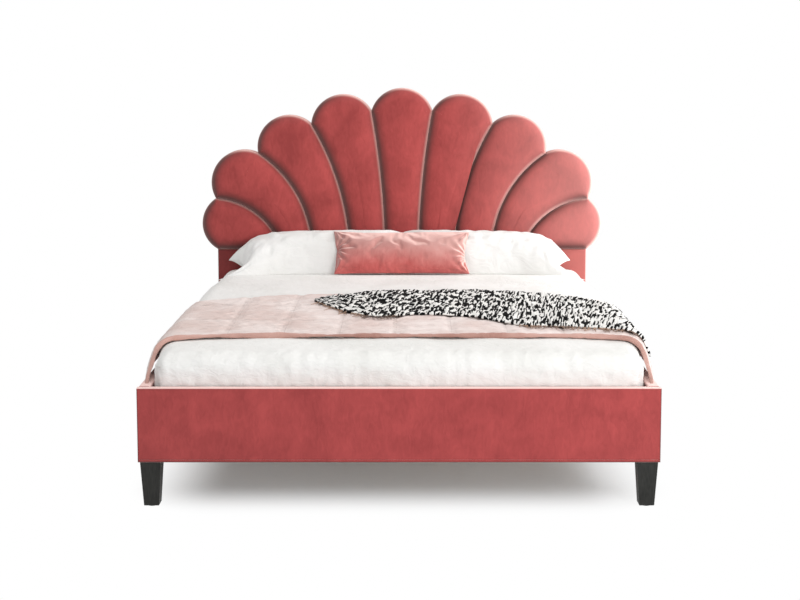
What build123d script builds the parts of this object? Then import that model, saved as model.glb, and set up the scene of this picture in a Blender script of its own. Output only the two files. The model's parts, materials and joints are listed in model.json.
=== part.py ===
from build123d import *
import math
import os

os.makedirs("parts", exist_ok=True)

# Frame: X is the bed's width, Y runs from the foot (-) to the head (+), Z is up.
# The origin is on the floor, under the middle of the whole bed. Lengths are in millimetres.

# Mattress, which sets the size of the frame round it
mattress_width = 1600.0
mattress_length = 2000.0
mattress_thickness = 180.0
mattress_corner = 45.0
mattress_edge = 38.0
mattress_ticking = 10.0
mattress_side_gap = 10.0
mattress_end_gap = 10.0

# Overall sizes of the frame
rail_thickness = 40.0
rail_bottom = 150.0
rail_height = 245.0
rail_top = rail_bottom + rail_height
bed_width = mattress_width + 2 * (mattress_side_gap + rail_thickness)
inner_length = mattress_length + 2 * mattress_end_gap
half_width = bed_width / 2

# General clearances and overruns
seat_gap = 0.3
cloth_gap = 0.4
overrun = 5.0

# Upholstered boards of the footboard and side rails
face_padding = 12.0
edge_padding = 10.0
inner_skin = 4.0
board_core = rail_thickness - face_padding - inner_skin
cover_round = 7.0

# Headboard build-up, from the front to the back
panel_padding = 30.0
head_board = 18.0
head_frame = 20.0
back_cloth = 2.0
head_depth = panel_padding + head_board + head_frame + back_cloth
border_skin = 4.0
frame_rim = 40.0
upright_width = 60.0
panel_round = 8.0

# Fan of nine petals
fan_overhang = 70.0
fan_half_width = half_width + fan_overhang
fan_base = 587.0
fan_top = 1326.0
fan_rise = fan_top - fan_base
petal_depth = 68.0
petal_slot = 3.0
petal_board = 9.0
petal_board_inset = 12.0
petal_roll = 26.0
petal_crown = 9.0
petal_crown_inset = 24.0
petal_roll_steps = 3

# Grooves between the petals, from the middle outwards: the notch at the rim, a point half way
# and the foot on the base line, as shares of the fan's half width and rise
groove_shares = [
    {"notch": (0.152, 0.862), "middle": (0.113, 0.543), "foot": 0.084},
    {"notch": (0.452, 0.780), "middle": (0.307, 0.356), "foot": 0.262},
    {"notch": (0.717, 0.598), "middle": (0.499, 0.272), "foot": 0.452},
    {"notch": (0.931, 0.318), "middle": (0.711, 0.202), "foot": 0.602},
]
tip_share = 0.368
outer_side_share = (0.9985, 0.185)

# Screws that hold the petals from behind
screw_radius = 2.0
screw_head_radius = 4.0
screw_head_height = 3.0
petal_screw_bite = 7.0
screw_hole_gap = 0.1
petal_screw_shares = [0.2, 0.5, 0.8]

# Legs, glides and corner blocks
leg_top_side = 67.0
leg_foot_side = 49.0
leg_side_inset = 7.5
leg_front_inset = 5.0
leg_rear_inset = 15.0
leg_edge_cut = 2.0
glide_height = 3.0
glide_radius = 17.0
glide_pin_radius = 3.0
glide_pin_length = 12.0
block_side = 60.0
block_bottom = rail_bottom
block_height = 135.0
leg_bolt_radius = 4.0
leg_bolt_in_leg = 45.0
leg_bolt_in_block = 50.0
bolt_hole_gap = 0.1

# Bolts through the corner blocks into the rails, and screws into the end boards
rail_bolt_radius = 4.0
rail_bolt_head_radius = 6.5
rail_bolt_head = 5.0
rail_bolt_bite = 18.0
rail_bolt_low = 40.0
rail_bolt_high = 100.0
washer_radius = 9.0
washer_thickness = 1.6
block_screw_radius = 2.5
block_screw_head_radius = 5.0
block_screw_head = 3.0
block_screw_bite = 14.0
block_screw_low = 60.0
block_screw_high = 120.0
block_screw_side = 14.0

# Slat supports
ledge_side = 30.0
ledge_drop = 111.0
ledge_top = rail_top - ledge_drop
ledge_gap = 1.0
ledge_screw_count = 8
ledge_screw_bite = 16.0
beam_width = 45.0
beam_height = 70.0
hanger_plate = 3.0
hanger_depth = 45.0
hanger_ear = 26.0
hanger_screw_radius = 2.5
hanger_screw_head_radius = 4.5
hanger_screw_head = 2.5
hanger_screw_bite = 14.0
pocket_margin = 5.0

# Sprung slats and their holders
slat_pairs = 14
slat_width = 53.0
slat_thickness = 8.0
slat_bow = 5.0
slat_end_margin = 100.0
holder_length = 34.0
holder_wall = 3.0
slat_seat_gap = 1.0
slat_end_gap = 2.0

# Centre legs with levelling feet
centre_leg_station = 350.0
centre_leg_radius = 20.0
centre_flange_length = 90.0
centre_flange_width = 45.0
centre_flange = 3.0
centre_leg_bottom = 38.0
stud_radius = 4.0
stud_run_gap = 0.05
stud_bore_depth = 42.0
stud_in_leg = 22.0
level_pad_radius = 23.0
level_pad_neck_radius = 11.0
level_pad_flare = 5.0
level_pad_height = 14.0
level_pad_floor = 4.0
stud_collar_height = 6.0
stud_collar_flats = 13.0

# Duvet
duvet_top_thickness = 20.0
duvet_side_thickness = 6.0
duvet_edge_round = 58.0
duvet_tuck = 110.0

# Quilt and throw, laid across the bed
quilt_thickness = 10.0
quilt_front_inset = 244.0
quilt_length = 866.0
quilt_back_skew = 135.0
quilt_corner_reach = 150.0
quilt_corner_run = 148.0
drape_lean = 20.0
quilt_hem_gap = 3.0
stitch_step = 200.0
stitch_width = 7.0
stitch_depth = 2.5
throw_thickness = 9.0
throw_drop = 61.0
throw_outline_shares = [
    (-0.400, -0.060), (-0.308, 0.031), (-0.148, 0.226), (0.125, 0.377), (0.367, 0.403), (0.533, 0.293),
    (0.768, 0.100), (0.940, -0.100), (1.080, -0.300), (1.080, -0.900), (0.940, -0.970), (0.723, -0.858),
    (0.520, -0.831), (0.461, -0.761), (0.324, -0.585), (0.074, -0.504), (-0.115, -0.582),
    (-0.239, -0.420),
]
throw_side_margin = 10.0
throw_front_reach = 771.0
throw_run = 740.0

# Pillows, and the small cushion that leans on them
pillow_end_gap = 10.0
pillow_middle_gap = 4.0
pillow_depth = 182.0
pillow_height = 200.0
pillow_ear_forward = 75.0
pillow_ear_thickness = 12.0
pillow_flat = 1.0
cushion_width = 592.0
cushion_height = 207.0
cushion_crown = 78.0
cushion_tilt = 30.0
cushion_foot_gap = 37.0

# Places that follow from the sizes
total_length = rail_thickness + inner_length + head_depth
foot_face = -total_length / 2
foot_inner = foot_face + rail_thickness
head_face = foot_inner + inner_length
board_front = head_face + panel_padding
frame_front = board_front + head_board
back_front = frame_front + head_frame
head_back = back_front + back_cloth
rail_inner = half_width - rail_thickness
core_inner = rail_inner + inner_skin
core_outer = core_inner + board_core
petal_front = board_front - petal_depth
block_inner = rail_inner - block_side
foot_block_end = foot_inner + block_side
head_block_end = head_face - block_side
beam_top = ledge_top
beam_bottom = beam_top - beam_height
slat_bottom = ledge_top + holder_wall
slat_crown = slat_bottom + slat_bow + slat_thickness
mattress_bottom = slat_crown + seat_gap
mattress_top = mattress_bottom + mattress_thickness
bed_middle = (foot_inner + head_face) / 2
duvet_inner_top = mattress_top + cloth_gap
duvet_top = duvet_inner_top + duvet_top_thickness
duvet_side = mattress_width / 2 + duvet_side_thickness
duvet_end = mattress_length / 2 + duvet_side_thickness
drape_start = duvet_side - duvet_edge_round
drape_round = duvet_edge_round
quilt_front = bed_middle - mattress_length / 2 + quilt_front_inset
quilt_back = quilt_front + quilt_length
quilt_corner_start = drape_start - quilt_corner_run
quilt_hem = rail_top + quilt_hem_gap
throw_hem = duvet_top - throw_drop
throw_span = half_width - throw_side_margin
throw_middle = quilt_front + throw_front_reach
pillow_width = mattress_width / 2 - pillow_end_gap - pillow_middle_gap
pillow_front = petal_front - pillow_depth
cushion_foot = pillow_front - cushion_foot_gap
upright_side = half_width / 2


def box(x0, x1, y0, y1, z0, z1):
    """Return a block between two corners."""
    middle = ((x0 + x1) / 2, (y0 + y1) / 2, (z0 + z1) / 2)
    return Pos(*middle) * Box(abs(x1 - x0), abs(y1 - y0), abs(z1 - z0))


def upright(face, y_front, y_back):
    """Stand a flat outline, drawn as (x, z), between two depths."""
    depth = y_back - y_front
    return Location((0, y_back, 0), (90, 0, 0)) * extrude(face, depth)


def rod_x(radius, x0, x1, y, z):
    """Return a round bar along X."""
    return Pos((x0 + x1) / 2, y, z) * Rot(0, 90, 0) * Cylinder(radius, abs(x1 - x0))


def rod_y(radius, y0, y1, x, z):
    """Return a round bar along Y."""
    return Pos(x, (y0 + y1) / 2, z) * Rot(90, 0, 0) * Cylinder(radius, abs(y1 - y0))


def rod_z(radius, z0, z1, x, y):
    """Return a round bar along Z."""
    return Pos(x, y, (z0 + z1) / 2) * Cylinder(radius, abs(z1 - z0))


def save(name, shape):
    """Write one named piece, or a group of like pieces, as a STEP file."""
    solids = shape if isinstance(shape, list) else shape.solids()
    flat = [solid for item in solids for solid in item.solids()]
    body = flat[0] if len(flat) == 1 else Compound(children=flat)
    body.label = name
    export_step(body, f"parts/{name}.step")


# Fan outline

def fan_point(share_x, share_z):
    """Turn shares of the fan into a point (x, z)."""
    return (share_x * fan_half_width, fan_base + share_z * fan_rise)


def mirrored(point):
    """Return the point on the other side of the bed's middle."""
    return (-point[0], point[1])


def groove_edge(index, side):
    """Return the arc of one groove, from the base line up to the notch."""
    shares = groove_shares[index]
    foot = (shares["foot"] * fan_half_width, fan_base)
    points = [foot, fan_point(*shares["middle"]), fan_point(*shares["notch"])]
    if side < 0:
        points = [mirrored(point) for point in points]
    return ThreePointArc(*points)


def tip_edge(start, end):
    """Return the round tip of a petal between two notches, from left to right."""
    chord_x, chord_z = end[0] - start[0], end[1] - start[1]
    chord = math.hypot(chord_x, chord_z)
    rise = tip_share * chord
    crown = ((start[0] + end[0]) / 2 - chord_z / chord * rise,
             (start[1] + end[1]) / 2 + chord_x / chord * rise)
    return ThreePointArc(start, crown, end)


def outer_points():
    """Return the outer petal's notch, side point and foot on the right."""
    notch = fan_point(*groove_shares[3]["notch"])
    return notch, fan_point(*outer_side_share), (half_width, fan_base)


def petal_face(number):
    """Return the flat outline of petal 1 (far left) to 9 (far right), slots left out."""
    place = number - 5
    side = 1 if place >= 0 else -1
    rank = abs(place)
    if rank == 0:
        edges = petal_edges(groove_edge(0, -1), groove_edge(0, 1))
    elif rank < 4:
        inner, outer = groove_edge(rank - 1, side), groove_edge(rank, side)
        edges = petal_edges(outer, inner) if side < 0 else petal_edges(inner, outer)
    else:
        edges = outer_petal_edges(side)
    return make_face(edges)


def petal_edges(left, right):
    """Return the four edges of a petal between two grooves."""
    start, end = left @ 1, right @ 1
    tip = tip_edge((start.X, start.Y), (end.X, end.Y))
    return [left, tip, right, Line(right @ 0, left @ 0)]


def outer_petal_edges(side):
    """Return the edges of an outermost petal, whose foot lies on the base line."""
    notch, flank, foot = outer_points()
    if side < 0:
        notch, flank, foot = mirrored(notch), mirrored(flank), mirrored(foot)
    groove = groove_edge(3, side)
    return [groove, ThreePointArc(notch, flank, foot), Line(foot, groove @ 0)]


def headboard_outline():
    """Return the outline of the whole headboard, from the rails' underside to the fan's rim."""
    notches = [fan_point(*shares["notch"]) for shares in groove_shares]
    notch, flank, foot = outer_points()
    left = [mirrored(point) for point in reversed(notches)]
    rim = left + notches
    edges = [ThreePointArc(mirrored(foot), mirrored(flank), mirrored(notch))]
    edges += [tip_edge(start, end) for start, end in zip(rim[:-1], rim[1:])]
    edges += [ThreePointArc(notch, flank, foot)]
    base = [(half_width, rail_bottom), (-half_width, rail_bottom)]
    edges += [Line(foot, base[0]), Line(base[0], base[1]), Line(base[1], mirrored(foot))]
    return make_face(edges)


def shrunk(face, amount, corners=Kind.INTERSECTION):
    """Return a flat outline moved inwards all round."""
    return offset(face, amount=-amount, kind=corners)


def headboard_inside(amount):
    """Return the headboard's outline moved inwards, with round inner corners."""
    return shrunk(headboard_outline(), amount, Kind.ARC)


# Headboard pieces

def petal_ring(number, inset, depth):
    """Return a petal's outline, moved inwards, at a height above the board's face."""
    return Location((0, board_front - depth, 0), (90, 0, 0)) * shrunk(petal_face(number), inset)


def petal_pad(number):
    """Return one padded petal, rolled at its rim and crowned in front, with its board's recess."""
    slot = petal_slot / 2
    shoulder = petal_depth - petal_crown - petal_roll
    rings = [petal_ring(number, slot, shoulder)]
    for step in range(1, petal_roll_steps + 1):
        angle = math.pi / 2 * step / petal_roll_steps
        inset = slot + petal_roll * (1 - math.cos(angle))
        rings.append(petal_ring(number, inset, shoulder + petal_roll * math.sin(angle)))
    rings.append(petal_ring(number, slot + petal_roll + petal_crown_inset, petal_depth))
    base = upright(shrunk(petal_face(number), slot), board_front - shoulder, board_front)
    recess = upright(shrunk(petal_face(number), petal_board_inset), board_front - petal_board,
                     board_front + overrun)
    return base + loft(rings) - recess


def petal_screw_places(number):
    """Return the (x, z) places of one petal's screws, along its middle."""
    face = shrunk(petal_face(number), petal_board_inset)
    frame = face.bounding_box()
    centre = face.center()
    low, high = frame.min.Y, frame.max.Y
    places = []
    for share in petal_screw_shares:
        level = low + share * (high - low)
        cut = face & Pos(centre.X, level) * Rectangle(frame.size.X * 3, screw_radius)
        middle = cut.bounding_box().center()
        places.append((middle.X, level))
    return places


def petal_board_piece(number, places):
    """Return a petal's thin board with its screw holes."""
    board = upright(shrunk(petal_face(number), petal_board_inset), board_front - petal_board,
                    board_front)
    for x, z in places:
        board -= rod_y(screw_radius + screw_hole_gap, board_front - petal_screw_bite, head_back, x, z)
    return board


def petal_screw(x, z):
    """Return one screw that comes through the headboard's board from behind."""
    shank = rod_y(screw_radius, board_front - petal_screw_bite + seat_gap, frame_front, x, z)
    return shank + rod_y(screw_head_radius, frame_front, frame_front + screw_head_height, x, z)


def block_pockets():
    """Return the pockets in the headboard's pad for the corner blocks and the beam's hanger."""
    low = block_bottom - overrun
    high = block_bottom + block_height + pocket_margin
    pockets = [box(side * (block_inner - pocket_margin), side * rail_inner, head_face - overrun,
                   board_front + overrun, low, high) for side in (-1, 1)]
    reach = beam_width / 2 + hanger_plate + hanger_ear + pocket_margin
    pockets.append(box(-reach, reach, head_face - overrun, board_front + overrun,
                       beam_bottom - hanger_plate - pocket_margin, beam_top + pocket_margin))
    return pockets


def headboard_panel():
    """Return the padded panel below the fan."""
    panel = box(-half_width, half_width, head_face, board_front, rail_bottom, fan_base - seat_gap)
    front = panel.faces().sort_by(Axis.Y)[0]
    panel = fillet(front.edges(), panel_round)
    for pocket in block_pockets():
        panel -= pocket
    return panel


def head_holes():
    """Return the screw holes in the headboard's board, for the corner blocks and the hanger."""
    holes = []
    for side in (-1, 1):
        for z in block_screw_levels():
            holes.append(rod_y(block_screw_radius + screw_hole_gap, head_face,
                               board_front + block_screw_bite, block_screw_x(side), z))
    for x, z in hanger_screw_places():
        holes.append(rod_y(hanger_screw_radius + screw_hole_gap, head_face,
                           board_front + hanger_screw_bite, x, z))
    return holes


def headboard_board(places):
    """Return the board that the petals and the panel are fixed to."""
    board = upright(headboard_inside(border_skin), board_front, frame_front)
    for hole in head_holes():
        board -= hole
    for x, z in places:
        board -= rod_y(screw_radius + screw_hole_gap, board_front - overrun, head_back, x, z)
    return board


def headboard_frame(places):
    """Return the timber frame behind the board: a rim and two uprights, clear of the screws."""
    outer = headboard_inside(border_skin)
    inner = headboard_inside(border_skin + frame_rim)
    frame = upright(outer, frame_front, back_front) - upright(inner, frame_front, back_front)
    core = upright(outer, frame_front, back_front)
    for side in (-1, 1):
        strip = box(side * upright_side - upright_width / 2, side * upright_side + upright_width / 2,
                    frame_front, back_front, rail_bottom, fan_top)
        frame += strip & core
    for x, z in places:
        frame -= rod_y(screw_head_radius + seat_gap, frame_front, back_front, x, z)
    return frame


def headboard_border():
    """Return the velvet band round the edge of the board and its frame."""
    outer = upright(headboard_outline(), board_front, back_front)
    return outer - upright(headboard_inside(border_skin), board_front, back_front)


def make_headboard():
    """Write the headboard's pieces."""
    screws, boards, holes = [], [], []
    for number in range(1, 10):
        places = petal_screw_places(number)
        holes += places
        boards.append(petal_board_piece(number, places))
        screws += [petal_screw(x, z) for x, z in places]
        save(f"petal_pad_{number}", petal_pad(number))
    save("petal_boards", boards)
    save("petal_screws", screws)
    save("headboard_panel", headboard_panel())
    save("headboard_board", headboard_board(holes))
    save("headboard_frame", headboard_frame(holes))
    save("headboard_border", headboard_border())
    save("headboard_back_cover", upright(headboard_outline(), back_front, head_back))


# Footboard and side rails

def rail_bolt_levels():
    """Return the heights of the two bolts in each corner block."""
    return [block_bottom + rail_bolt_low, block_bottom + rail_bolt_high]


def block_screw_levels():
    """Return the heights of the two screws in each corner block."""
    return [block_bottom + block_screw_low, block_bottom + block_screw_high]


def block_middle(end):
    """Return the middle of a corner block along Y, at the foot (-1) or the head (1)."""
    return (foot_inner + foot_block_end) / 2 if end < 0 else (head_face + head_block_end) / 2


def block_screw_x(side):
    """Return where the screws of a corner block stand across the bed."""
    return side * (block_inner + block_screw_side)


def footboard_core():
    """Return the footboard's board, with its screw holes."""
    core = box(-half_width + edge_padding, half_width - edge_padding, foot_face + face_padding,
               foot_inner - inner_skin, rail_bottom, rail_top - edge_padding)
    for hole in foot_holes():
        core -= hole
    return core


def foot_holes():
    """Return the screw holes in the footboard, for the corner blocks and the beam's hanger."""
    holes = []
    for side in (-1, 1):
        for z in block_screw_levels():
            holes.append(rod_y(block_screw_radius + screw_hole_gap,
                               foot_inner - inner_skin - block_screw_bite, foot_inner + overrun,
                               block_screw_x(side), z))
    for x, z in hanger_screw_places():
        holes.append(rod_y(hanger_screw_radius + screw_hole_gap,
                           foot_inner - inner_skin - hanger_screw_bite, foot_inner + overrun, x, z))
    return holes


def footboard_cover():
    """Return the footboard's padded cover, open underneath where the board slides in."""
    cover = box(-half_width, half_width, foot_face, foot_inner, rail_bottom, rail_top)
    front = cover.faces().sort_by(Axis.Y)[0]
    top = cover.faces().sort_by(Axis.Z)[-1]
    edges = front.edges() + top.edges().sort_by(Axis.Y)[-1:]
    cover = fillet(edges, cover_round)
    cover -= box(-half_width + edge_padding, half_width - edge_padding, foot_face + face_padding,
                 foot_inner - inner_skin, rail_bottom - overrun, rail_top - edge_padding)
    for hole in foot_holes():
        cover -= hole
    return cover


def rail_holes(side):
    """Return the holes in a side rail, for the corner bolts and the ledge's screws."""
    holes = []
    for end in (-1, 1):
        for z in rail_bolt_levels():
            holes.append(rod_x(rail_bolt_radius + bolt_hole_gap, side * (rail_inner - overrun),
                               side * (core_inner + rail_bolt_bite), block_middle(end), z))
    for y in ledge_screw_stations():
        holes.append(rod_x(screw_radius + screw_hole_gap, side * (rail_inner - overrun),
                           side * (core_inner + ledge_screw_bite), y, ledge_top - ledge_side / 2))
    return holes


def rail_core(side):
    """Return a side rail's board."""
    core = box(side * core_inner, side * core_outer, foot_inner, head_face, rail_bottom,
               rail_top - edge_padding)
    for hole in rail_holes(side):
        core -= hole
    return core


def rail_cover(side):
    """Return a side rail's padded cover, open underneath and at its ends."""
    cover = box(side * rail_inner, side * half_width, foot_inner, head_face, rail_bottom, rail_top)
    top = cover.faces().sort_by(Axis.Z)[-1]
    long_edges = top.edges().filter_by(Axis.Y)
    cover = fillet(long_edges, cover_round)
    cover -= box(side * core_inner, side * core_outer, foot_inner - overrun, head_face + overrun,
                 rail_bottom - overrun, rail_top - edge_padding)
    for hole in rail_holes(side):
        cover -= hole
    return cover


def make_rails():
    """Write the footboard and the side rails."""
    save("footboard_core", footboard_core())
    save("footboard_cover", footboard_cover())
    for side, word in ((-1, "left"), (1, "right")):
        save(f"side_rail_core_{word}", rail_core(side))
        save(f"side_rail_cover_{word}", rail_cover(side))


# Corner blocks, bolts and legs

def leg_outer_end(end):
    """Return where a leg's outer face stands along Y, at its top."""
    return end * (total_length / 2 - (leg_front_inset if end < 0 else leg_rear_inset))


def leg_centre(side, end):
    """Return the middle of a leg's top, as (x, y)."""
    x = side * (half_width - leg_side_inset - leg_top_side / 2)
    return x, leg_outer_end(end) - end * leg_top_side / 2


def leg_bolt_place(side, end):
    """Return where a leg's bolt stands: the middle of what the leg and its block share."""
    x = side * (half_width - leg_side_inset - leg_top_side + rail_inner) / 2
    leg_end = leg_outer_end(end) - end * leg_top_side
    face = foot_inner if end < 0 else board_front
    return x, (leg_end + face) / 2


def corner_block(side, end):
    """Return a timber block in one corner, with its holes."""
    face = foot_inner if end < 0 else board_front
    inner = foot_block_end if end < 0 else head_block_end
    block = box(side * block_inner, side * rail_inner, face, inner, block_bottom,
                block_bottom + block_height)
    for z in rail_bolt_levels():
        block -= rod_x(rail_bolt_radius + bolt_hole_gap, side * (block_inner - overrun),
                       side * (rail_inner + overrun), block_middle(end), z)
    for z in block_screw_levels():
        block -= rod_y(block_screw_radius + screw_hole_gap, face + end * overrun,
                       inner - end * overrun, block_screw_x(side), z)
    x, y = leg_bolt_place(side, end)
    return block - rod_z(leg_bolt_radius + bolt_hole_gap, block_bottom - overrun,
                         block_bottom + leg_bolt_in_block + seat_gap, x, y)


def rail_bolt(side, end, z):
    """Return one bolt through a corner block into a rail, with its round head."""
    y = block_middle(end)
    seat = block_inner - washer_thickness
    shank = rod_x(rail_bolt_radius, side * seat, side * (core_inner + rail_bolt_bite - seat_gap), y, z)
    return shank + rod_x(rail_bolt_head_radius, side * (seat - rail_bolt_head), side * seat, y, z)


def rail_washer(side, end, z):
    """Return the washer under a bolt's head."""
    y = block_middle(end)
    disc = rod_x(washer_radius, side * (block_inner - washer_thickness), side * block_inner, y, z)
    hole = rod_x(rail_bolt_radius + bolt_hole_gap, side * (block_inner - washer_thickness - overrun),
                 side * (block_inner + overrun), y, z)
    return disc - hole


def block_screw(side, end, z):
    """Return one screw from a corner block into the board behind it."""
    inner = foot_block_end if end < 0 else head_block_end
    tip = (foot_inner - inner_skin - block_screw_bite if end < 0
           else board_front + block_screw_bite)
    x = block_screw_x(side)
    shank = rod_y(block_screw_radius, inner, tip - end * seat_gap, x, z)
    return shank + rod_y(block_screw_head_radius, inner, inner - end * block_screw_head, x, z)


def leg(side, end):
    """Return a square leg that tapers towards the floor, with the holes for its bolt and glide."""
    x, y = leg_centre(side, end)
    low = Pos(x, y, glide_height) * Rectangle(leg_foot_side, leg_foot_side)
    high = Pos(x, y, rail_bottom) * Rectangle(leg_top_side, leg_top_side)
    body = loft([low, high], ruled=True)
    bottom = body.faces().sort_by(Axis.Z)[0]
    body = chamfer(bottom.edges(), leg_edge_cut)
    bolt_x, bolt_y = leg_bolt_place(side, end)
    body -= rod_z(leg_bolt_radius + bolt_hole_gap, rail_bottom - leg_bolt_in_leg - seat_gap,
                  rail_bottom + overrun, bolt_x, bolt_y)
    return body - rod_z(glide_pin_radius + screw_hole_gap, glide_height - overrun,
                        glide_height + glide_pin_length + seat_gap, x, y)


def leg_bolt(side, end):
    """Return the double-ended bolt that joins a leg to its corner block."""
    x, y = leg_bolt_place(side, end)
    return rod_z(leg_bolt_radius, rail_bottom - leg_bolt_in_leg, rail_bottom + leg_bolt_in_block, x, y)


def leg_glide(side, end):
    """Return the round glide under a leg, with its pin."""
    x, y = leg_centre(side, end)
    disc = rod_z(glide_radius, 0, glide_height, x, y)
    return disc + rod_z(glide_pin_radius, glide_height, glide_height + glide_pin_length, x, y)


def make_corners():
    """Write the corner blocks with their fasteners, and the legs."""
    corners = [(side, end) for end in (-1, 1) for side in (-1, 1)]
    words = {(-1, -1): "front_left", (1, -1): "front_right", (-1, 1): "rear_left", (1, 1): "rear_right"}
    for corner in corners:
        save(f"leg_{words[corner]}", leg(*corner))
    save("corner_blocks", [corner_block(*corner) for corner in corners])
    save("rail_bolts", [rail_bolt(*corner, z) for corner in corners for z in rail_bolt_levels()])
    save("rail_washers", [rail_washer(*corner, z) for corner in corners for z in rail_bolt_levels()])
    save("block_screws", [block_screw(*corner, z) for corner in corners for z in block_screw_levels()])
    save("leg_bolts", [leg_bolt(*corner) for corner in corners])
    save("leg_glides", [leg_glide(*corner) for corner in corners])


# Slat supports

def ledge_span():
    """Return the two ends of a side ledge along Y."""
    return foot_block_end + ledge_gap, head_block_end - ledge_gap


def ledge_screw_stations():
    """Return where a ledge's screws stand along Y."""
    start, end = ledge_span()
    step = (end - start) / ledge_screw_count
    return [start + step * (place + 0.5) for place in range(ledge_screw_count)]


def side_ledge(side):
    """Return the timber ledge inside one rail."""
    start, end = ledge_span()
    ledge = box(side * (rail_inner - ledge_side), side * rail_inner, start, end,
                ledge_top - ledge_side, ledge_top)
    for y in ledge_screw_stations():
        ledge -= rod_x(screw_radius + screw_hole_gap, side * (rail_inner - ledge_side - overrun),
                       side * (rail_inner + overrun), y, ledge_top - ledge_side / 2)
    return ledge


def ledge_screw(side, y):
    """Return one screw through a ledge into its rail."""
    face = rail_inner - ledge_side
    z = ledge_top - ledge_side / 2
    shank = rod_x(screw_radius, side * face, side * (core_inner + ledge_screw_bite - seat_gap), y, z)
    return shank + rod_x(screw_head_radius, side * (face - screw_head_height), side * face, y, z)


def hanger_screw_places():
    """Return the (x, z) places of the screws in a hanger's ears."""
    x = beam_width / 2 + hanger_plate + hanger_ear / 2
    quarter = beam_height / 4
    return [(side * x, beam_bottom + quarter * level) for side in (-1, 1) for level in (1, 3)]


def beam_hanger(end):
    """Return the steel saddle that carries one end of the beam."""
    face = foot_inner if end < 0 else board_front
    half = beam_width / 2 + seat_gap
    outer = half + hanger_plate
    low = beam_bottom - hanger_plate
    reach = outer + hanger_ear
    front = face - end * hanger_depth
    cradle = box(-outer, outer, face, front, low, beam_top)
    cradle -= box(-half, half, face - end * hanger_plate, front - end * overrun, beam_bottom,
                  beam_top + overrun)
    plate = box(-reach, reach, face, face - end * hanger_plate, low, beam_top)
    hanger = cradle + plate
    for x, z in hanger_screw_places():
        hanger -= rod_y(hanger_screw_radius + screw_hole_gap, face + end * overrun,
                        face - end * (hanger_plate + overrun), x, z)
    return hanger


def hanger_screw(end, x, z):
    """Return one screw that holds a hanger."""
    face = foot_inner if end < 0 else board_front
    seat = face - end * hanger_plate
    tip = (foot_inner - inner_skin - hanger_screw_bite if end < 0
           else board_front + hanger_screw_bite)
    shank = rod_y(hanger_screw_radius, seat, tip - end * seat_gap, x, z)
    return shank + rod_y(hanger_screw_head_radius, seat, seat - end * hanger_screw_head, x, z)


def centre_beam():
    """Return the timber beam along the bed's middle."""
    return box(-beam_width / 2, beam_width / 2, foot_inner + hanger_plate + seat_gap,
               board_front - hanger_plate - seat_gap, beam_bottom, beam_top)


def slat_stations():
    """Return where the slats lie along Y."""
    start = foot_inner + slat_end_margin
    end = head_face - slat_end_margin
    step = (end - start) / (slat_pairs - 1)
    return [start + step * place for place in range(slat_pairs)]


def slat_ends():
    """Return a slat's inner and outer ends, on the right side of the bed."""
    inner = holder_wall / 2 + slat_end_gap
    outer = rail_inner - holder_wall - slat_end_gap - seat_gap
    return inner, outer


def slat(side, y):
    """Return one sprung slat, bowed upwards."""
    inner, outer = (side * value for value in slat_ends())
    middle = (inner + outer) / 2
    top = slat_bottom + slat_thickness
    edges = [Line((inner, slat_bottom), (inner, top)),
             ThreePointArc((inner, top), (middle, top + slat_bow), (outer, top)),
             Line((outer, top), (outer, slat_bottom)),
             ThreePointArc((outer, slat_bottom), (middle, slat_bottom + slat_bow), (inner, slat_bottom))]
    return upright(make_face(edges), y - slat_width / 2, y + slat_width / 2)


def holder_shell(x0, x1, y):
    """Return the outside of a slat holder."""
    half = slat_width / 2 + holder_wall + slat_seat_gap
    return box(x0, x1, y - half, y + half, ledge_top,
               slat_bottom + slat_thickness + slat_seat_gap + holder_wall)


def holder_slot(x0, x1, y):
    """Return the slot of a slat holder."""
    half = slat_width / 2 + slat_seat_gap
    return box(x0, x1, y - half, y + half, slat_bottom, slat_bottom + slat_thickness + slat_seat_gap)


def side_holder(side, y):
    """Return the holder of a slat's outer end, on the ledge."""
    outer = rail_inner - seat_gap
    inner = rail_inner - holder_length
    slot = holder_slot(side * (inner - overrun), side * (outer - holder_wall), y)
    return holder_shell(side * inner, side * outer, y) - slot


def centre_holder(y):
    """Return the double holder on the beam, which takes a slat from each side."""
    body = holder_shell(-beam_width / 2, beam_width / 2, y)
    for side in (-1, 1):
        body -= holder_slot(side * holder_wall / 2, side * (beam_width / 2 + overrun), y)
    return body


def make_slats():
    """Write the ledges, the beam with its hangers, and the slats with their holders."""
    sides = (-1, 1)
    stations = slat_stations()
    save("side_ledges", [side_ledge(side) for side in sides])
    save("ledge_screws", [ledge_screw(side, y) for side in sides for y in ledge_screw_stations()])
    save("centre_beam", centre_beam())
    save("beam_hangers", [beam_hanger(end) for end in sides])
    save("hanger_screws", [hanger_screw(end, x, z) for end in sides for x, z in hanger_screw_places()])
    save("slats_left", [slat(-1, y) for y in stations])
    save("slats_right", [slat(1, y) for y in stations])
    save("side_slat_holders", [side_holder(side, y) for side in sides for y in stations])
    save("centre_slat_holders", [centre_holder(y) for y in stations])


# Centre legs

def centre_leg(y):
    """Return a centre leg under the beam, with the threaded bore for its levelling stud."""
    top = beam_bottom
    body = rod_z(centre_leg_radius, centre_leg_bottom, top, 0, y)
    body += box(-centre_flange_width / 2, centre_flange_width / 2, y - centre_flange_length / 2,
                y + centre_flange_length / 2, top - centre_flange, top)
    return body - rod_z(stud_radius + stud_run_gap, centre_leg_bottom - overrun,
                        centre_leg_bottom + stud_bore_depth, 0, y)


def level_pad(y):
    """Return the round foot pad, flared at the floor, with the socket for its stud."""
    flare = rod_z(level_pad_radius, 0, level_pad_flare, 0, y)
    neck = rod_z(level_pad_neck_radius, level_pad_flare, level_pad_height, 0, y)
    return flare + neck - rod_z(stud_radius + stud_run_gap, level_pad_floor,
                                level_pad_height + overrun, 0, y)


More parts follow.
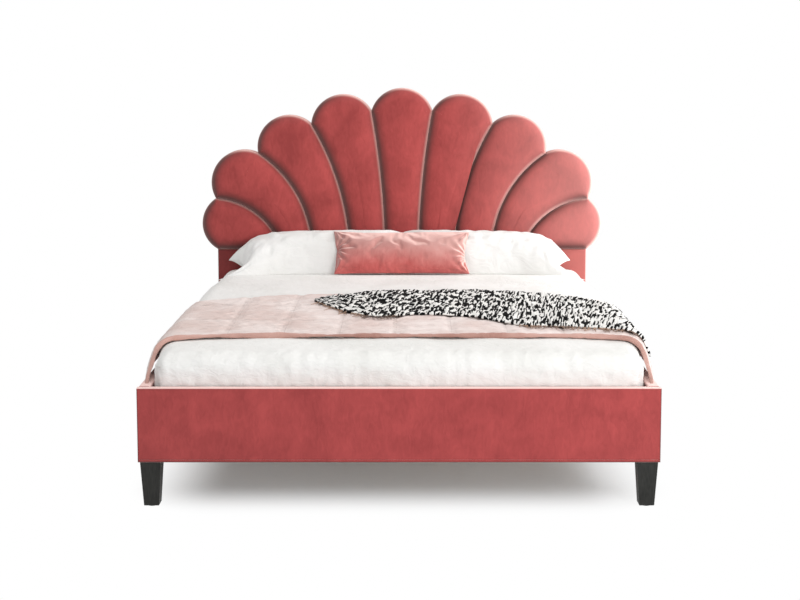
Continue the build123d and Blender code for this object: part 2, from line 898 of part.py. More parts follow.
def level_stud(y):
    """Return the levelling stud with its six-sided collar."""
    top = centre_leg_bottom + stud_in_leg
    shank = rod_z(stud_radius, level_pad_floor + seat_gap, top, 0, y)
    collar = RegularPolygon(stud_collar_flats / 2, 6, major_radius=False)
    return shank + Pos(0, y, level_pad_height + seat_gap) * extrude(collar, stud_collar_height)


def make_centre_legs():
    """Write the centre legs with their levelling feet."""
    for word, y in (("front", -centre_leg_station), ("rear", centre_leg_station)):
        save(f"centre_leg_{word}", centre_leg(y))
        save(f"level_pad_{word}", level_pad(y))
        save(f"level_stud_{word}", level_stud(y))


# Mattress and duvet

def soft_block(half_x, half_y, bottom, top, corner, edge):
    """Return a block over the bed's middle, with round corners and a round top edge."""
    body = box(-half_x, half_x, bed_middle - half_y, bed_middle + half_y, bottom, top)
    body = fillet(body.edges().filter_by(Axis.Z), corner)
    return fillet(body.faces().sort_by(Axis.Z)[-1].edges(), edge)


def mattress_block(margin):
    """Return the mattress's outer form, smaller by a margin all round."""
    return soft_block(mattress_width / 2 - margin, mattress_length / 2 - margin,
                      mattress_bottom + margin, mattress_top - margin, mattress_corner - margin,
                      mattress_edge - margin)


def duvet():
    """Return the white duvet, tucked down all round the mattress."""
    low = mattress_top - duvet_tuck
    body = soft_block(duvet_side, duvet_end, low, duvet_top,
                      duvet_edge_round + cloth_gap, duvet_edge_round)
    inner = soft_block(mattress_width / 2 + cloth_gap, mattress_length / 2 + cloth_gap,
                       low - overrun, duvet_inner_top, mattress_corner, mattress_edge)
    return body - inner


# Quilt and throw

def drape_half(gap, hem):
    """Return the edges of a cloth's line over one half of the bed, a gap above the duvet.

    The line runs flat from the middle, turns down over the edge and leans out to the hem.
    """
    lean = math.radians(drape_lean)
    level = duvet_top + gap
    centre = (drape_start, duvet_top - drape_round)
    radius = drape_round + gap
    turn = (centre[0] + radius * math.cos(lean), centre[1] + radius * math.sin(lean))
    half_turn = (math.pi / 2 + lean) / 2
    crest = (centre[0] + radius * math.cos(half_turn), centre[1] + radius * math.sin(half_turn))
    fall = turn[1] - hem
    end = (turn[0] + fall * math.tan(lean), hem)
    return [((0, level), (drape_start, level)), ((drape_start, level), crest, turn), (turn, end)]


def drape_edges(gap, hem, side):
    """Return those edges as curves, on one side of the bed."""
    def place(point):
        return (side * point[0], point[1])
    flat, curve, fall = drape_half(gap, hem)
    return [Line(*[place(point) for point in flat]), ThreePointArc(*[place(point) for point in curve]),
            Line(*[place(point) for point in fall])]


def drape_sheet(gap, thickness, hem, y0, y1):
    """Return a sheet of cloth over the bed, between two stations along Y."""
    edges = []
    for side in (-1, 1):
        under = drape_edges(gap, hem, side)
        over = drape_edges(gap + thickness, hem, side)
        edges += under + over + [Line(under[-1] @ 1, over[-1] @ 1)]
    return upright(make_face(edges), y0, y1)


def quilt_plan():
    """Return the quilt's outline from above, longer at its hanging corners."""
    reach = half_width + overrun
    front_side = quilt_front - quilt_corner_reach
    points = [(-reach, front_side), (-quilt_corner_start, quilt_front), (quilt_corner_start, quilt_front),
              (reach, front_side), (reach, quilt_back), (-quilt_corner_start / 2, quilt_back),
              (-reach, quilt_back - quilt_back_skew)]
    return Polyline(*points, close=True)


def plan_prism(outline, high):
    """Return the space above and below an outline seen from above."""
    return Pos(0, 0, rail_bottom) * extrude(make_face(outline), high - rail_bottom)


def stitch_groove(gap, y):
    """Return one channel across the quilt, where its layers are sewn together."""
    return drape_sheet(gap, quilt_thickness, quilt_hem - overrun, y - stitch_width / 2,
                       y + stitch_width / 2)


def quilt():
    """Return the quilt, laid across the bed and hanging over both edges, with its sewn channels."""
    high = duvet_top + drape_round
    body = drape_sheet(cloth_gap, quilt_thickness, quilt_hem,
                       quilt_front - quilt_corner_reach - overrun, quilt_back + overrun)
    body &= plan_prism(quilt_plan(), high)
    upper = duvet_top + cloth_gap + quilt_thickness
    lift = cloth_gap + quilt_thickness - stitch_depth
    rows = int((quilt_back - quilt_front) / stitch_step)
    for row in range(1, rows + 1):
        body -= stitch_groove(lift, quilt_front + row * stitch_step)
    columns = int(drape_start / stitch_step)
    for column in range(-columns, columns + 1):
        x = column * stitch_step
        body -= box(x - stitch_width / 2, x + stitch_width / 2, quilt_front - quilt_corner_reach,
                    quilt_back + overrun, upper - stitch_depth, upper + overrun)
    return body


def throw():
    """Return the knitted throw, laid loosely over the quilt and down the right side."""
    points = [(x * throw_span, throw_middle + y * throw_run) for x, y in throw_outline_shares]
    gap = 2 * cloth_gap + quilt_thickness
    body = drape_sheet(gap, throw_thickness, throw_hem, throw_middle - throw_run,
                       throw_middle + throw_run)
    outline = Spline(*points, periodic=True)
    return body & plan_prism(outline, duvet_top + drape_round)


# Pillows and cushion

# Slices of a pillow from its outer ear to its inner end: the place along its width, how far its
# front tip stands forward, the height of its back tip and its crest, and the heel under its back
pillow_slice_shares = [
    {"place": 0.00, "forward": 1.00, "back": 0.25, "crest": 0.30, "heel": (0.60, 0.04)},
    {"place": 0.06, "forward": 0.80, "back": 0.42, "crest": 0.52, "heel": (0.72, 0.02)},
    {"place": 0.20, "forward": 0.35, "back": 0.64, "crest": 0.83, "heel": (0.95, 0.00)},
    {"place": 0.50, "forward": 0.05, "back": 0.74, "crest": 1.00, "heel": (0.97, 0.00)},
    {"place": 0.88, "forward": 0.00, "back": 0.72, "crest": 0.98, "heel": (0.97, 0.00)},
    {"place": 1.00, "forward": -0.12, "back": 0.55, "crest": 0.84, "heel": (0.90, 0.02)},
]
pillow_crest_share = 0.52
pillow_nose_share = (0.16, 0.62)
pillow_shoulder_share = (0.55, 0.93)


def pillow_slice(x, shares):
    """Return one upright slice of a pillow, across the bed at x."""
    bottom = duvet_top + cloth_gap - pillow_flat
    back = petal_front - cloth_gap + pillow_flat
    front = pillow_front - shares["forward"] * pillow_ear_forward
    depth = back - front
    tip = (front, bottom)
    lift = pillow_ear_thickness + shares["crest"] * (pillow_height - pillow_ear_thickness)
    crest = (front + depth * pillow_crest_share, bottom + lift)
    tail = (back, bottom + shares["back"] * pillow_height)
    heel = (front + depth * shares["heel"][0], bottom + shares["heel"][1] * pillow_height)
    nose = (front + depth * pillow_nose_share[0], bottom + lift * pillow_nose_share[1])
    shoulder = (crest[0] + (back - crest[0]) * pillow_shoulder_share[0],
                tail[1] + (crest[1] - tail[1]) * pillow_shoulder_share[1])
    edges = [ThreePointArc(tip, nose, crest), ThreePointArc(crest, shoulder, tail),
             Line(tail, heel), Line(heel, tip)]
    return Plane(origin=(x, 0, 0), x_dir=(0, 1, 0), z_dir=(1, 0, 0)) * make_face(edges)


def pillow(side):
    """Return one bed pillow, crowned in its middle, with a drawn-in ear at its outer end."""
    outer = side * (pillow_width + pillow_middle_gap)
    inner = side * pillow_middle_gap
    slices = [pillow_slice(outer + (inner - outer) * shares["place"], shares)
              for shares in pillow_slice_shares]
    if side > 0:
        slices.reverse()
    room = box(-half_width, half_width, foot_face, petal_front - cloth_gap, duvet_top + cloth_gap,
               fan_top)
    return (loft(slices) & room) - cushion_space()


# Layers of the cushion from its flat back to its crown: the height, how far the outline draws
# in from the seam, and how far its sides bow out (or in, where negative)
cushion_layer_shares = [(0.0, 0.06, -0.04), (0.16, 0.0, -0.05), (0.42, 0.09, -0.02), (0.68, 0.22, 0.02),
                        (0.88, 0.42, 0.04), (1.0, 0.72, 0.04)]


def cushion_place():
    """Return where the cushion's back stands: leaning, with its lower edge on the duvet."""
    return Location((0, cushion_foot, duvet_top + cloth_gap), (90 - cushion_tilt, 0, 0))


def cushion_space():
    """Return the space that the cushion presses into the pillows, in front of its back's plane."""
    half = cushion_width / 2 + cloth_gap
    depth = cushion_crown * 2
    space = Pos(0, cushion_height / 2, depth / 2 - cloth_gap) * Box(half * 2, cushion_height * 2, depth)
    return cushion_place() * space


def cushion_layer(height, drawn, bow):
    """Return the outline of one layer of the cushion, with bowed sides between its corners."""
    half_x = cushion_width / 2 - drawn * cushion_height
    half_y = cushion_height / 2 * (1 - drawn)
    out_x, out_y = bow * cushion_height, bow * cushion_height
    corners = [(-half_x, -half_y), (half_x, -half_y), (half_x, half_y), (-half_x, half_y)]
    waists = [(0, -half_y - out_y), (half_x + out_x, 0), (0, half_y + out_y), (-half_x - out_x, 0)]
    edges = [ThreePointArc(corners[k], waists[k], corners[(k + 1) % 4]) for k in range(4)]
    return Pos(0, cushion_height / 2, height * cushion_crown) * make_face(edges)


def cushion():
    """Return the small velvet cushion, crowned in front and pressed flat behind."""
    body = loft([cushion_place() * cushion_layer(*layer) for layer in cushion_layer_shares])
    floor = duvet_top + cloth_gap
    return body - box(-half_width, half_width, foot_face, head_back, 0, floor)


def make_bedding():
    """Write the mattress and everything that lies on it."""
    save("mattress_core", mattress_block(mattress_ticking))
    save("mattress_ticking", mattress_block(0) - mattress_block(mattress_ticking))
    save("duvet", duvet())
    save("quilt", quilt())
    save("throw", throw())
    save("pillow_left", pillow(-1))
    save("pillow_right", pillow(1))
    save("lumbar_cushion", cushion())


make_headboard()
make_rails()
make_corners()
make_slats()
make_centre_legs()
make_bedding()
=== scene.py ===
"""Looks of an upholstered double bed: fan headboard, padded rails, mattress and dressed bedding.

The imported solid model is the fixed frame. Every padded or cloth piece is modelled here round it, and
every timber, steel and plastic piece of the frame gets its finish here. Lengths are in metres.
"""

import json
import logging
import math
from dataclasses import dataclass, field
from enum import Enum
from typing import Callable, Optional, Sequence

import bpy
import numpy as np
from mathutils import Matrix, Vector

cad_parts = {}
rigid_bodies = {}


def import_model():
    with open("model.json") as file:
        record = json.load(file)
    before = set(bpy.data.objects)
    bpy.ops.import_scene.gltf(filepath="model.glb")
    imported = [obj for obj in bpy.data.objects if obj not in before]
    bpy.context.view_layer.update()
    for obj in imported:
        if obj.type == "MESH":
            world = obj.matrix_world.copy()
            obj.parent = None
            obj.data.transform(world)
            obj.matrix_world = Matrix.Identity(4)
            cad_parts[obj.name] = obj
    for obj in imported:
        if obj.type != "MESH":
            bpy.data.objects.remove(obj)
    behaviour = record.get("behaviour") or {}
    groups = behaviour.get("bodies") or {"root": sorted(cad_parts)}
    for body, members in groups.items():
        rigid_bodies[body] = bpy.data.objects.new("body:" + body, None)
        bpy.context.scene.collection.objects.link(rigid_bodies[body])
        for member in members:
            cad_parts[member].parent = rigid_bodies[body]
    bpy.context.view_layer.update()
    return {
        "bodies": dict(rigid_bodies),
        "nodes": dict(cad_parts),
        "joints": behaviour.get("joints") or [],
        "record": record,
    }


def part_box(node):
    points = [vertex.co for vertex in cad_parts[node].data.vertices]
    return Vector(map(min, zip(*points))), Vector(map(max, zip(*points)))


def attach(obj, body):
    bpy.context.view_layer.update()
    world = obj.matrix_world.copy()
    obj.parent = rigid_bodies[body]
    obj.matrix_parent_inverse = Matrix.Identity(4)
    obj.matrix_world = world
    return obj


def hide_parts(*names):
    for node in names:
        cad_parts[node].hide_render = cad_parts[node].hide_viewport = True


LOG = logging.getLogger("double_bed")
MM = 0.001
BED = "bed"
MERGE_GAP = 0.02 * MM
Material = bpy.types.Material
Piece = bpy.types.Object
Socket = bpy.types.NodeSocket
Tone = tuple[float, float, float]
Line = Sequence[tuple[float, float]]


class Side(Enum):
    """The two sides of the bed, seen from its foot."""

    LEFT = -1
    RIGHT = 1

    @property
    def word(self) -> str:
        """Return the side's name as node names use it."""
        return self.name.lower()


# Modelling helpers


def object_mode() -> None:
    """Leave edit mode, if it is on."""
    if bpy.context.mode != "OBJECT":
        bpy.ops.object.mode_set(mode="OBJECT")


def activate(*pieces: Piece) -> None:
    """Select only the given pieces, if any, and make the first one active."""
    object_mode()
    bpy.ops.object.select_all(action="DESELECT")
    for piece in pieces:
        piece.select_set(True)
    if pieces:
        bpy.context.view_layer.objects.active = pieces[0]


def edit_all(piece: Piece) -> None:
    """Go into edit mode with all of a piece selected.

    Args:
        piece: The piece to edit.
    """
    activate(piece)
    bpy.ops.object.mode_set(mode="EDIT")
    bpy.ops.mesh.select_all(action="SELECT")


def edit_some(piece: Piece, kind: str, wanted: np.ndarray) -> None:
    """Go into edit mode with some of a piece selected.

    Args:
        piece: The piece to edit.
        kind: VERT or EDGE.
        wanted: Whether each vertex or edge is selected.
    """
    edit_all(piece)
    bpy.ops.mesh.select_all(action="DESELECT")
    bpy.ops.mesh.select_mode(type=kind)
    object_mode()
    (piece.data.vertices if kind == "VERT" else piece.data.edges).foreach_set("select", wanted)
    bpy.ops.object.mode_set(mode="EDIT")


def points_of(piece: Piece, normals: bool = False) -> np.ndarray:
    """Return a piece's vertices, or their normals, as rows of x, y and z.

    Args:
        piece: The piece to read.
        normals: Whether its vertex normals are read instead.

    Returns:
        One row for each vertex.
    """
    rows, key = (piece.data.vertex_normals, "vector") if normals else (piece.data.vertices, "co")
    flat = np.empty(len(rows) * 3, np.float32)
    rows.foreach_get(key, flat)
    return flat.reshape(-1, 3).astype(float)


def set_points(piece: Piece, points: np.ndarray) -> None:
    """Move a piece's vertices to rows of x, y and z."""
    piece.data.vertices.foreach_set("co", points.astype(np.float32).ravel())
    piece.data.update()


def apply_modifier(piece: Piece, kind: str, **values: object) -> None:
    """Add a modifier and apply it.

    Args:
        piece: The piece to change.
        kind: Blender's name for the kind of modifier.
        values: The modifier's settings by name.
    """
    activate(piece)
    modifier = piece.modifiers.new(kind.title(), kind)
    for name, value in values.items():
        setattr(modifier, name, value)
    bpy.ops.object.modifier_apply(modifier=modifier.name)


def mend(piece: Piece, gap: float = MERGE_GAP) -> None:
    """Merge a piece's vertices that are within a gap and turn its faces outwards.

    Args:
        piece: The piece to mend.
        gap: Vertices nearer than this become one.
    """
    edit_all(piece)
    bpy.ops.mesh.remove_doubles(threshold=gap)
    bpy.ops.mesh.normals_make_consistent(inside=False)
    object_mode()


def sheet_grid(name: str, columns: int, rows: int,
               shape: Callable[[np.ndarray, np.ndarray], np.ndarray]) -> Piece:
    """Model a sheet: a grid whose vertices are moved onto a surface.

    Args:
        name: The piece's name.
        columns: Faces along the first direction.
        rows: Faces along the second direction.
        shape: Gives the surface's points for two arrays of shares from 0 to 1.

    Returns:
        The sheet, with its UV map from 0 to 1 along both directions.
    """
    activate()
    bpy.ops.mesh.primitive_grid_add(x_subdivisions=columns, y_subdivisions=rows, size=1.0)
    piece = bpy.context.active_object
    piece.name = name
    start = points_of(piece)
    set_points(piece, shape(start[:, 0] + 0.5, start[:, 1] + 0.5))
    return piece


def ring_loft(name: str, rings: Sequence[np.ndarray], caps: Sequence[int] = ()) -> Piece:
    """Model a skin through closed rings of equal length, wrapped from a grid.

    Args:
        name: The piece's name.
        rings: Closed outlines, each one row of x, y and z for each point.
        caps: Which rings are closed with triangles, by index.

    Returns:
        The skin, merged along its seam, with its faces outwards.
    """
    stack = np.stack(rings)
    last, count = len(stack) - 1, stack.shape[1]

    def wrapped(u: np.ndarray, v: np.ndarray) -> np.ndarray:
        """Return the ring point nearest to each pair of shares."""
        return stack[np.rint(v * last).astype(int), np.rint(u * count).astype(int) % count]

    piece = sheet_grid(name, count, last, wrapped)
    mend(piece)
    for cap in caps:
        gaps = np.min(np.linalg.norm(points_of(piece)[:, None] - stack[cap], axis=2), axis=1)
        edit_some(piece, "VERT", gaps < MERGE_GAP)
        bpy.ops.mesh.edge_face_add()
        bpy.ops.mesh.quads_convert_to_tris(quad_method="BEAUTY", ngon_method="BEAUTY")
        object_mode()
    mend(piece)
    return piece


def block(name: str, low: Sequence[float], high: Sequence[float]) -> Piece:
    """Model a box between two corners, with its place in its mesh.

    Args:
        name: The piece's name.
        low: The lowest corner.
        high: The highest corner.

    Returns:
        The box.
    """
    activate()
    bpy.ops.mesh.primitive_cube_add(size=1.0)
    piece = bpy.context.active_object
    piece.name = name
    set_points(piece, (points_of(piece) + 0.5) * (np.array(high) - np.array(low)) + np.array(low))
    return piece


def cut_away(piece: Piece, low: Sequence[float], high: Sequence[float]) -> None:
    """Cut the box between two corners out of a piece.

    Args:
        piece: The piece that is cut.
        low: The box's lowest corner.
        high: The box's highest corner.
    """
    cutter = block(f"{piece.name}_cutter", low, high)
    apply_modifier(piece, "BOOLEAN", operation="DIFFERENCE", object=cutter, solver="EXACT")
    bpy.data.objects.remove(cutter)


def round_edges(piece: Piece, width: float, segments: int, *groups: np.ndarray) -> None:
    """Bevel the edges whose ends are both in one group of vertices.

    Args:
        piece: The piece to round.
        width: The bevel's width.
        segments: Faces across the bevel.
        groups: For each group, whether each vertex is in it.
    """
    ends = np.empty(len(piece.data.edges) * 2, np.int32)
    piece.data.edges.foreach_get("vertices", ends)
    first, second = ends.reshape(-1, 2).T
    edit_some(piece, "EDGE", np.any([group[first] & group[second] for group in groups], axis=0))
    bpy.ops.mesh.bevel(offset=width, segments=segments, profile=0.5)
    object_mode()


def join_all(name: str, pieces: Sequence[Piece]) -> Piece:
    """Join pieces into one of that name.

    Args:
        name: The joined piece's name.
        pieces: The pieces to join.

    Returns:
        The joined piece.
    """
    activate(*pieces)
    bpy.ops.object.join()
    piece = bpy.context.active_object
    piece.name = name
    return piece


def dress(piece: Piece, material: Material) -> None:
    """Give a piece one material all over."""
    piece.data.materials.clear()
    piece.data.materials.append(material)


def complete(piece: Piece, material: Material, nodes: Sequence[str] = (),
             degrees: float = 180.0) -> None:
    """Shade and dress a finished piece, hide the frame nodes it replaces and fix it to the bed.

    Args:
        piece: The finished piece.
        material: Its material.
        nodes: The nodes of the frame that it replaces.
        degrees: Up to which angle it is shaded smooth: 180 is all over and 0 nowhere.
    """
    activate(piece)
    if degrees == 180.0:
        bpy.ops.object.shade_smooth()
    elif degrees:
        bpy.ops.object.shade_smooth_by_angle(angle=math.radians(degrees))
    dress(piece, material)
    if nodes:
        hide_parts(*nodes)
    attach(piece, BED)
    LOG.info("%s: %d vertices", piece.name, len(piece.data.vertices))


# Outlines and noise


def arc(start: Sequence[float], middle: Sequence[float], end: Sequence[float], count: int) -> np.ndarray:
    """Return evenly spaced points on the arc through three points, both ends included.

    Args:
        start: The first point.
        middle: A point that the arc goes through.
        end: The last point.
        count: How many points are returned.

    Returns:
        The points in order.
    """
    a, b, c = (np.array(point, float) for point in (start, middle, end))
    ab, ac = b - a, c - a
    twice = 2 * (ab[0] * ac[1] - ab[1] * ac[0])
    centre = a + np.array([ac[1] * ab.dot(ab) - ab[1] * ac.dot(ac),
                           ab[0] * ac.dot(ac) - ac[0] * ab.dot(ab)]) / twice
    first, second, third = (math.atan2(*(point - centre)[::-1]) for point in (a, b, c))
    sweep = (third - first) % (2 * math.pi)
    if (second - first) % (2 * math.pi) > sweep:
        sweep -= 2 * math.pi
    angles = first + sweep * np.linspace(0, 1, count)
    return centre + np.linalg.norm(a - centre) * np.stack([np.cos(angles), np.sin(angles)], axis=1)


def area_of(outline: np.ndarray) -> float:
    """Return the area inside a closed outline, below zero if it runs clockwise."""
    ahead = np.roll(outline, -1, axis=0)
    return 0.5 * float(np.sum(outline[:, 0] * ahead[:, 1] - ahead[:, 0] * outline[:, 1]))


def joined(parts: Sequence[np.ndarray], step: float) -> np.ndarray:
    """Join curves end to end into one closed, anticlockwise outline, without doubled points.

    Args:
        parts: The curves in order.
        step: The usual distance between points.

    Returns:
        The outline.
    """
    line = np.concatenate(parts)
    line = line[np.linalg.norm(np.roll(line, -1, axis=0) - line, axis=1) > step / 50]
    return line if area_of(line) > 0 else line[::-1]


def normals_in(outline: np.ndarray) -> tuple[np.ndarray, np.ndarray]:
    """Return the directions inwards from the side after and the side before each point.

    Args:
        outline: A closed, anticlockwise outline.

    Returns:
        Two unit directions for each point.
    """
    edges = np.roll(outline, -1, axis=0) - outline
    edges /= np.linalg.norm(edges, axis=1, keepdims=True)
    after = np.stack([-edges[:, 1], edges[:, 0]], axis=1)
    return after, np.roll(after, 1, axis=0)


def gaps_to(points: np.ndarray, outline: np.ndarray) -> np.ndarray:
    """Return each point's distance to a closed outline.

    Args:
        points: The points to measure from.
        outline: The closed outline.

    Returns:
        The shortest distance of each point.
    """
    along = np.roll(outline, -1, axis=0) - outline
    share = ((points[:, None] - outline) * along).sum(axis=2) / np.sum(along ** 2, axis=1)
    nearest = outline + np.clip(share, 0, 1)[..., None] * along
    return np.linalg.norm(points[:, None] - nearest, axis=2).min(axis=1)


def soft_gaps(points: np.ndarray, outline: np.ndarray) -> np.ndarray:
    """Return each point's distance to a closed outline, with no crease along the middle line.

    Args:
        points: The points to measure from.
        outline: The closed outline.

    Returns:
        The softened distance of each point.
    """
    true = gaps_to(points, outline)
    along = (np.roll(outline, -1, axis=0) - outline)[:, None]
    dots = (outline[:, None] + along * ((np.arange(4) + 0.5) / 4)[:, None]).reshape(-1, 2)
    length = np.repeat(np.linalg.norm(along[:, 0], axis=1) / 4, 4)
    far = np.maximum(np.linalg.norm(points[:, None] - dots, axis=2), 0.5 * MM)
    soft = (np.sum(length / far ** 4, axis=1) * 2 / math.pi) ** (-1 / 3)
    return true + (soft - true) * ease(4 * MM, 12 * MM, true)


def crossing(a: np.ndarray, b: np.ndarray, c: np.ndarray, d: np.ndarray) -> np.ndarray:
    """Return where the line through a and b meets the line through c and d, near b and c.

    Args:
        a: The first line's start.
        b: The first line's end.
        c: The second line's start.
        d: The second line's end.

    Returns:
        The crossing, or the middle of b and c where it is far off.
    """
    first, second, middle = b - a, d - c, (b + c) / 2
    turn = first[0] * second[1] - first[1] * second[0]
    if abs(turn) < 1e-9:
        return middle
    meet = a + first * ((c - a)[0] * second[1] - (c - a)[1] * second[0]) / turn
    return meet if np.linalg.norm(meet - middle) < 2 * np.linalg.norm(c - b) + MM else middle


def inward(outline: np.ndarray, distance: float) -> np.ndarray:
    """Move an anticlockwise outline inwards.

    Args:
        outline: The closed outline.
        distance: How far it moves.

    Returns:
        The moved outline, with as many points. Its corners are mitred, and points whose sides would
        cross each other gather at the corner where those sides meet.
    """
    after, before = normals_in(outline)
    share = 1 + np.sum(after * before, axis=1, keepdims=True)
    moved = outline + distance * (after + before) / np.maximum(share, 0.05)
    lost = gaps_to(moved, outline) < distance * 0.99 - 0.01 * MM
    if not lost.any():
        return moved
    start = int(np.argmin(lost | np.roll(lost, 1) | np.roll(lost, -1)))
    moved, lost = np.roll(moved, -start, axis=0), np.roll(lost, -start)
    count, index = len(moved), 0
    while index < count:
        if lost[index]:
            end = index
            while end < count and lost[end]:
                end += 1
            moved[index:end] = crossing(moved[index - 2], moved[index - 1], moved[end % count],
                                        moved[(end + 1) % count])
            index = end
        index += 1
    return np.roll(moved, start, axis=0)


def upright(outline: np.ndarray, depth: float) -> np.ndarray:
    """Stand an outline of (x, z) points at one depth along Y."""
    return np.stack([outline[:, 0], np.full(len(outline), depth), outline[:, 1]], axis=1)


def ease(low: float, high: float, value: np.ndarray) -> np.ndarray:
    """Return a smooth step from 0 at low to 1 at high."""
    share = np.clip((value - low) / (high - low), 0, 1)
    return share * share * (3 - 2 * share)


def soft_floor(height: np.ndarray, blend: float) -> np.ndarray:
    """Return heights kept at zero or above, rounded off over a small blend."""
    return np.maximum((height + np.sqrt(height ** 2 + blend ** 2) - blend) / 2, 0)


def soft_line(run: np.ndarray, line: Line) -> np.ndarray:
    """Return the values of a line through chosen points, its corners softened.

    Args:
        run: Places along the line.
        line: The chosen places and their values.

    Returns:
        The value at each place.
    """
    places, values = zip(*line)
    spread = np.linspace(-0.03, 0.03, 7)
    return sum(np.interp(run + shift, places, values) for shift in spread) / len(spread)


class WaveNoise:
    """A smooth, repeatable noise made of many plane waves of like length."""

    def __init__(self, seed: int, length: float, waves: int = 24, stretch: float = 1.0) -> None:
        """Choose the waves.

        Args:
            seed: The number that fixes the choice.
            length: The usual distance between crests.
            waves: How many waves are added up.
            stretch: How much longer the crests are along the second direction.
        """
        draw = np.random.default_rng(seed)
        angle = draw.uniform(0, 2 * math.pi, waves)
        size = 2 * math.pi / (length * draw.uniform(0.6, 1.5, waves))
        self.along = np.stack([np.cos(angle) * size, np.sin(angle) * size / stretch])
        self.start = draw.uniform(0, 2 * math.pi, waves)
        self.level = math.sqrt(2.0 / waves)

    def at(self, a: np.ndarray, b: np.ndarray) -> np.ndarray:
        """Return the noise, mostly between -2 and 2, at places in a plane."""
        phase = np.outer(a, self.along[0]) + np.outer(b, self.along[1]) + self.start
        return np.sin(phase).sum(axis=1) * self.level


def folds(noise: np.ndarray) -> np.ndarray:
    """Turn smooth noise into soft ridges with narrow valleys between them."""
    return 1 - 2 * np.exp(-(noise * 1.6) ** 2)


# Finishes


class NodeBoard:
    """A material's node tree, with short ways to add and link its nodes."""

    def __init__(self, name: str) -> None:
        """Start a material of that name.

        Args:
            name: The material's name.
        """
        self.material = bpy.data.materials.new(name)
        self.material.use_nodes = True
        self.tree = self.material.node_tree
        self.shader = self.tree.nodes["Principled BSDF"]

    def put(self, socket: Socket, value: object) -> None:
        """Link an output to a socket, or set the socket's own value.

        Args:
            socket: The input to fill.
            value: An output, a number, a vector or a colour.
        """
        if isinstance(value, Socket):
            self.tree.links.new(value, socket)
        else:
            socket.default_value = (*value, 1.0) if socket.type == "RGBA" else value

    def add(self, kind: str, **inputs: object) -> bpy.types.Node:
        """Add a node and fill its inputs, whose spaces are written as underscores.

        Args:
            kind: Blender's name for the node, without ShaderNode.
            inputs: Outputs or values by input name.

        Returns:
            The new node.
        """
        node = self.tree.nodes.new("ShaderNode" + kind)
        for name, value in inputs.items():
            self.put(node.inputs[name.replace("_", " ")], value)
        return node

    def place(self, scale: Sequence[float] = (1, 1, 1), source: str = "Object", turn: float = 0.0) -> Socket:
        """Return coordinates, scaled and turned about Z.

        Args:
            scale: What each direction is multiplied by.
            source: Object for the bed's frame, or UV for the piece's own map.
            turn: The turn about Z, in radians.

        Returns:
            The output that carries the coordinates.
        """
        place = self.add("TexCoord").outputs[source]
        return self.add("Mapping", Vector=place, Scale=scale, Rotation=(0, 0, turn)).outputs["Vector"]

    def parts(self, vector: Socket) -> Sequence[Socket]:
        """Return a vector's three parts."""
        return self.add("SeparateXYZ", Vector=vector).outputs

    def noise(self, place: Socket, scale: float, detail: float = 2.0, distortion: float = 0.0) -> Socket:
        """Return a noise pattern's value at a place."""
        return self.add("TexNoise", Vector=place, Scale=scale, Detail=detail,
                        Distortion=distortion).outputs["Fac"]

    def ramp(self, value: Socket, low: float, first: Tone, high: float, second: Tone) -> Socket:
        """Return a colour that goes from the first at a low value to the second at a high one.

        Args:
            value: The output that is followed.
            low: Where the first colour ends.
            first: The first colour.
            high: Where the second colour starts.
            second: The second colour.

        Returns:
            The output that carries the colour.
        """
        node = self.add("ValToRGB", Fac=value)
        for element, position, colour in zip(node.color_ramp.elements, (low, high), (first, second)):
            element.position = position
            element.color = (*colour, 1.0)
        return node.outputs["Color"]

    def mix(self, share: object, first: object, second: object) -> Socket:
        """Return a mix of two colours.

        Args:
            share: How much of the second shows.
            first: The first colour.
            second: The second colour.

        Returns:
            The output that carries the mix.
        """
        node = self.add("Mix")
        node.data_type = "RGBA"
        for index, value in ((0, share), (6, first), (7, second)):
            self.put(node.inputs[index], value)
        return node.outputs[2]

    def math(self, operation: str, *values: object) -> Socket:
        """Return the result of an operation on values.

        Args:
            operation: Blender's name for the operation.
            values: Outputs or numbers, up to three.

        Returns:
            The output that carries the result.
        """
        node = self.add("Math")
        node.operation = operation
        for socket, value in zip(node.inputs, values):
            self.put(socket, value)
        return node.outputs[0]

    def total(self, *terms: tuple[object, float]) -> Socket:
        """Return the sum of values, each times its weight.

        Args:
            terms: Pairs of a value and its weight.

        Returns:
            The output that carries the sum.
        """
        result = self.math("MULTIPLY", *terms[0])
        for value, weight in terms[1:]:
            result = self.math("MULTIPLY_ADD", value, weight, result)
        return result

    def rise(self, value: Socket, low: float, high: float, most: float = 1.0, smooth: bool = True) -> Socket:
        """Return a share that rises from 0 at a low value to the most at a high one.

        Args:
            value: The output that is followed.
            low: Where the rise starts.
            high: Where it ends.
            most: The share that it ends at.
            smooth: Whether it eases in and out.

        Returns:
            The output that carries the share.
        """
        node = self.add("MapRange", Value=value, From_Min=low, From_Max=high, To_Max=most)
        node.interpolation_type = "SMOOTHSTEP" if smooth else "LINEAR"
        return node.outputs["Result"]

    def bump(self, height: Socket, strength: float, distance: float, under: Optional[Socket] = None) -> Socket:
        """Return normals that follow a height, over an earlier bump if there is one.

        Args:
            height: The output that carries the height.
            strength: How much it counts.
            distance: The height of a full step, in metres.
            under: The earlier bump's normals, if any.

        Returns:
            The output that carries the normals.
        """
        node = self.add("Bump", Height=height, Strength=strength, Distance=distance)
        if under is not None:
            self.put(node.inputs["Normal"], under)
        return node.outputs["Normal"]

    def finish(self, colour: Socket, normal: Optional[Socket] = None, **plain: object) -> Material:
        """Wire the shader.

        Args:
            colour: The base colour.
            normal: The bumped normals, if any.
            plain: Other inputs of the shader, set on their own sockets.

        Returns:
            The finished material.
        """
        for name, value in {"Base_Color": colour, "Normal": normal, **plain}.items():
            if value is not None:
                self.put(self.shader.inputs[name.replace("_", " ")], value)
        return self.material


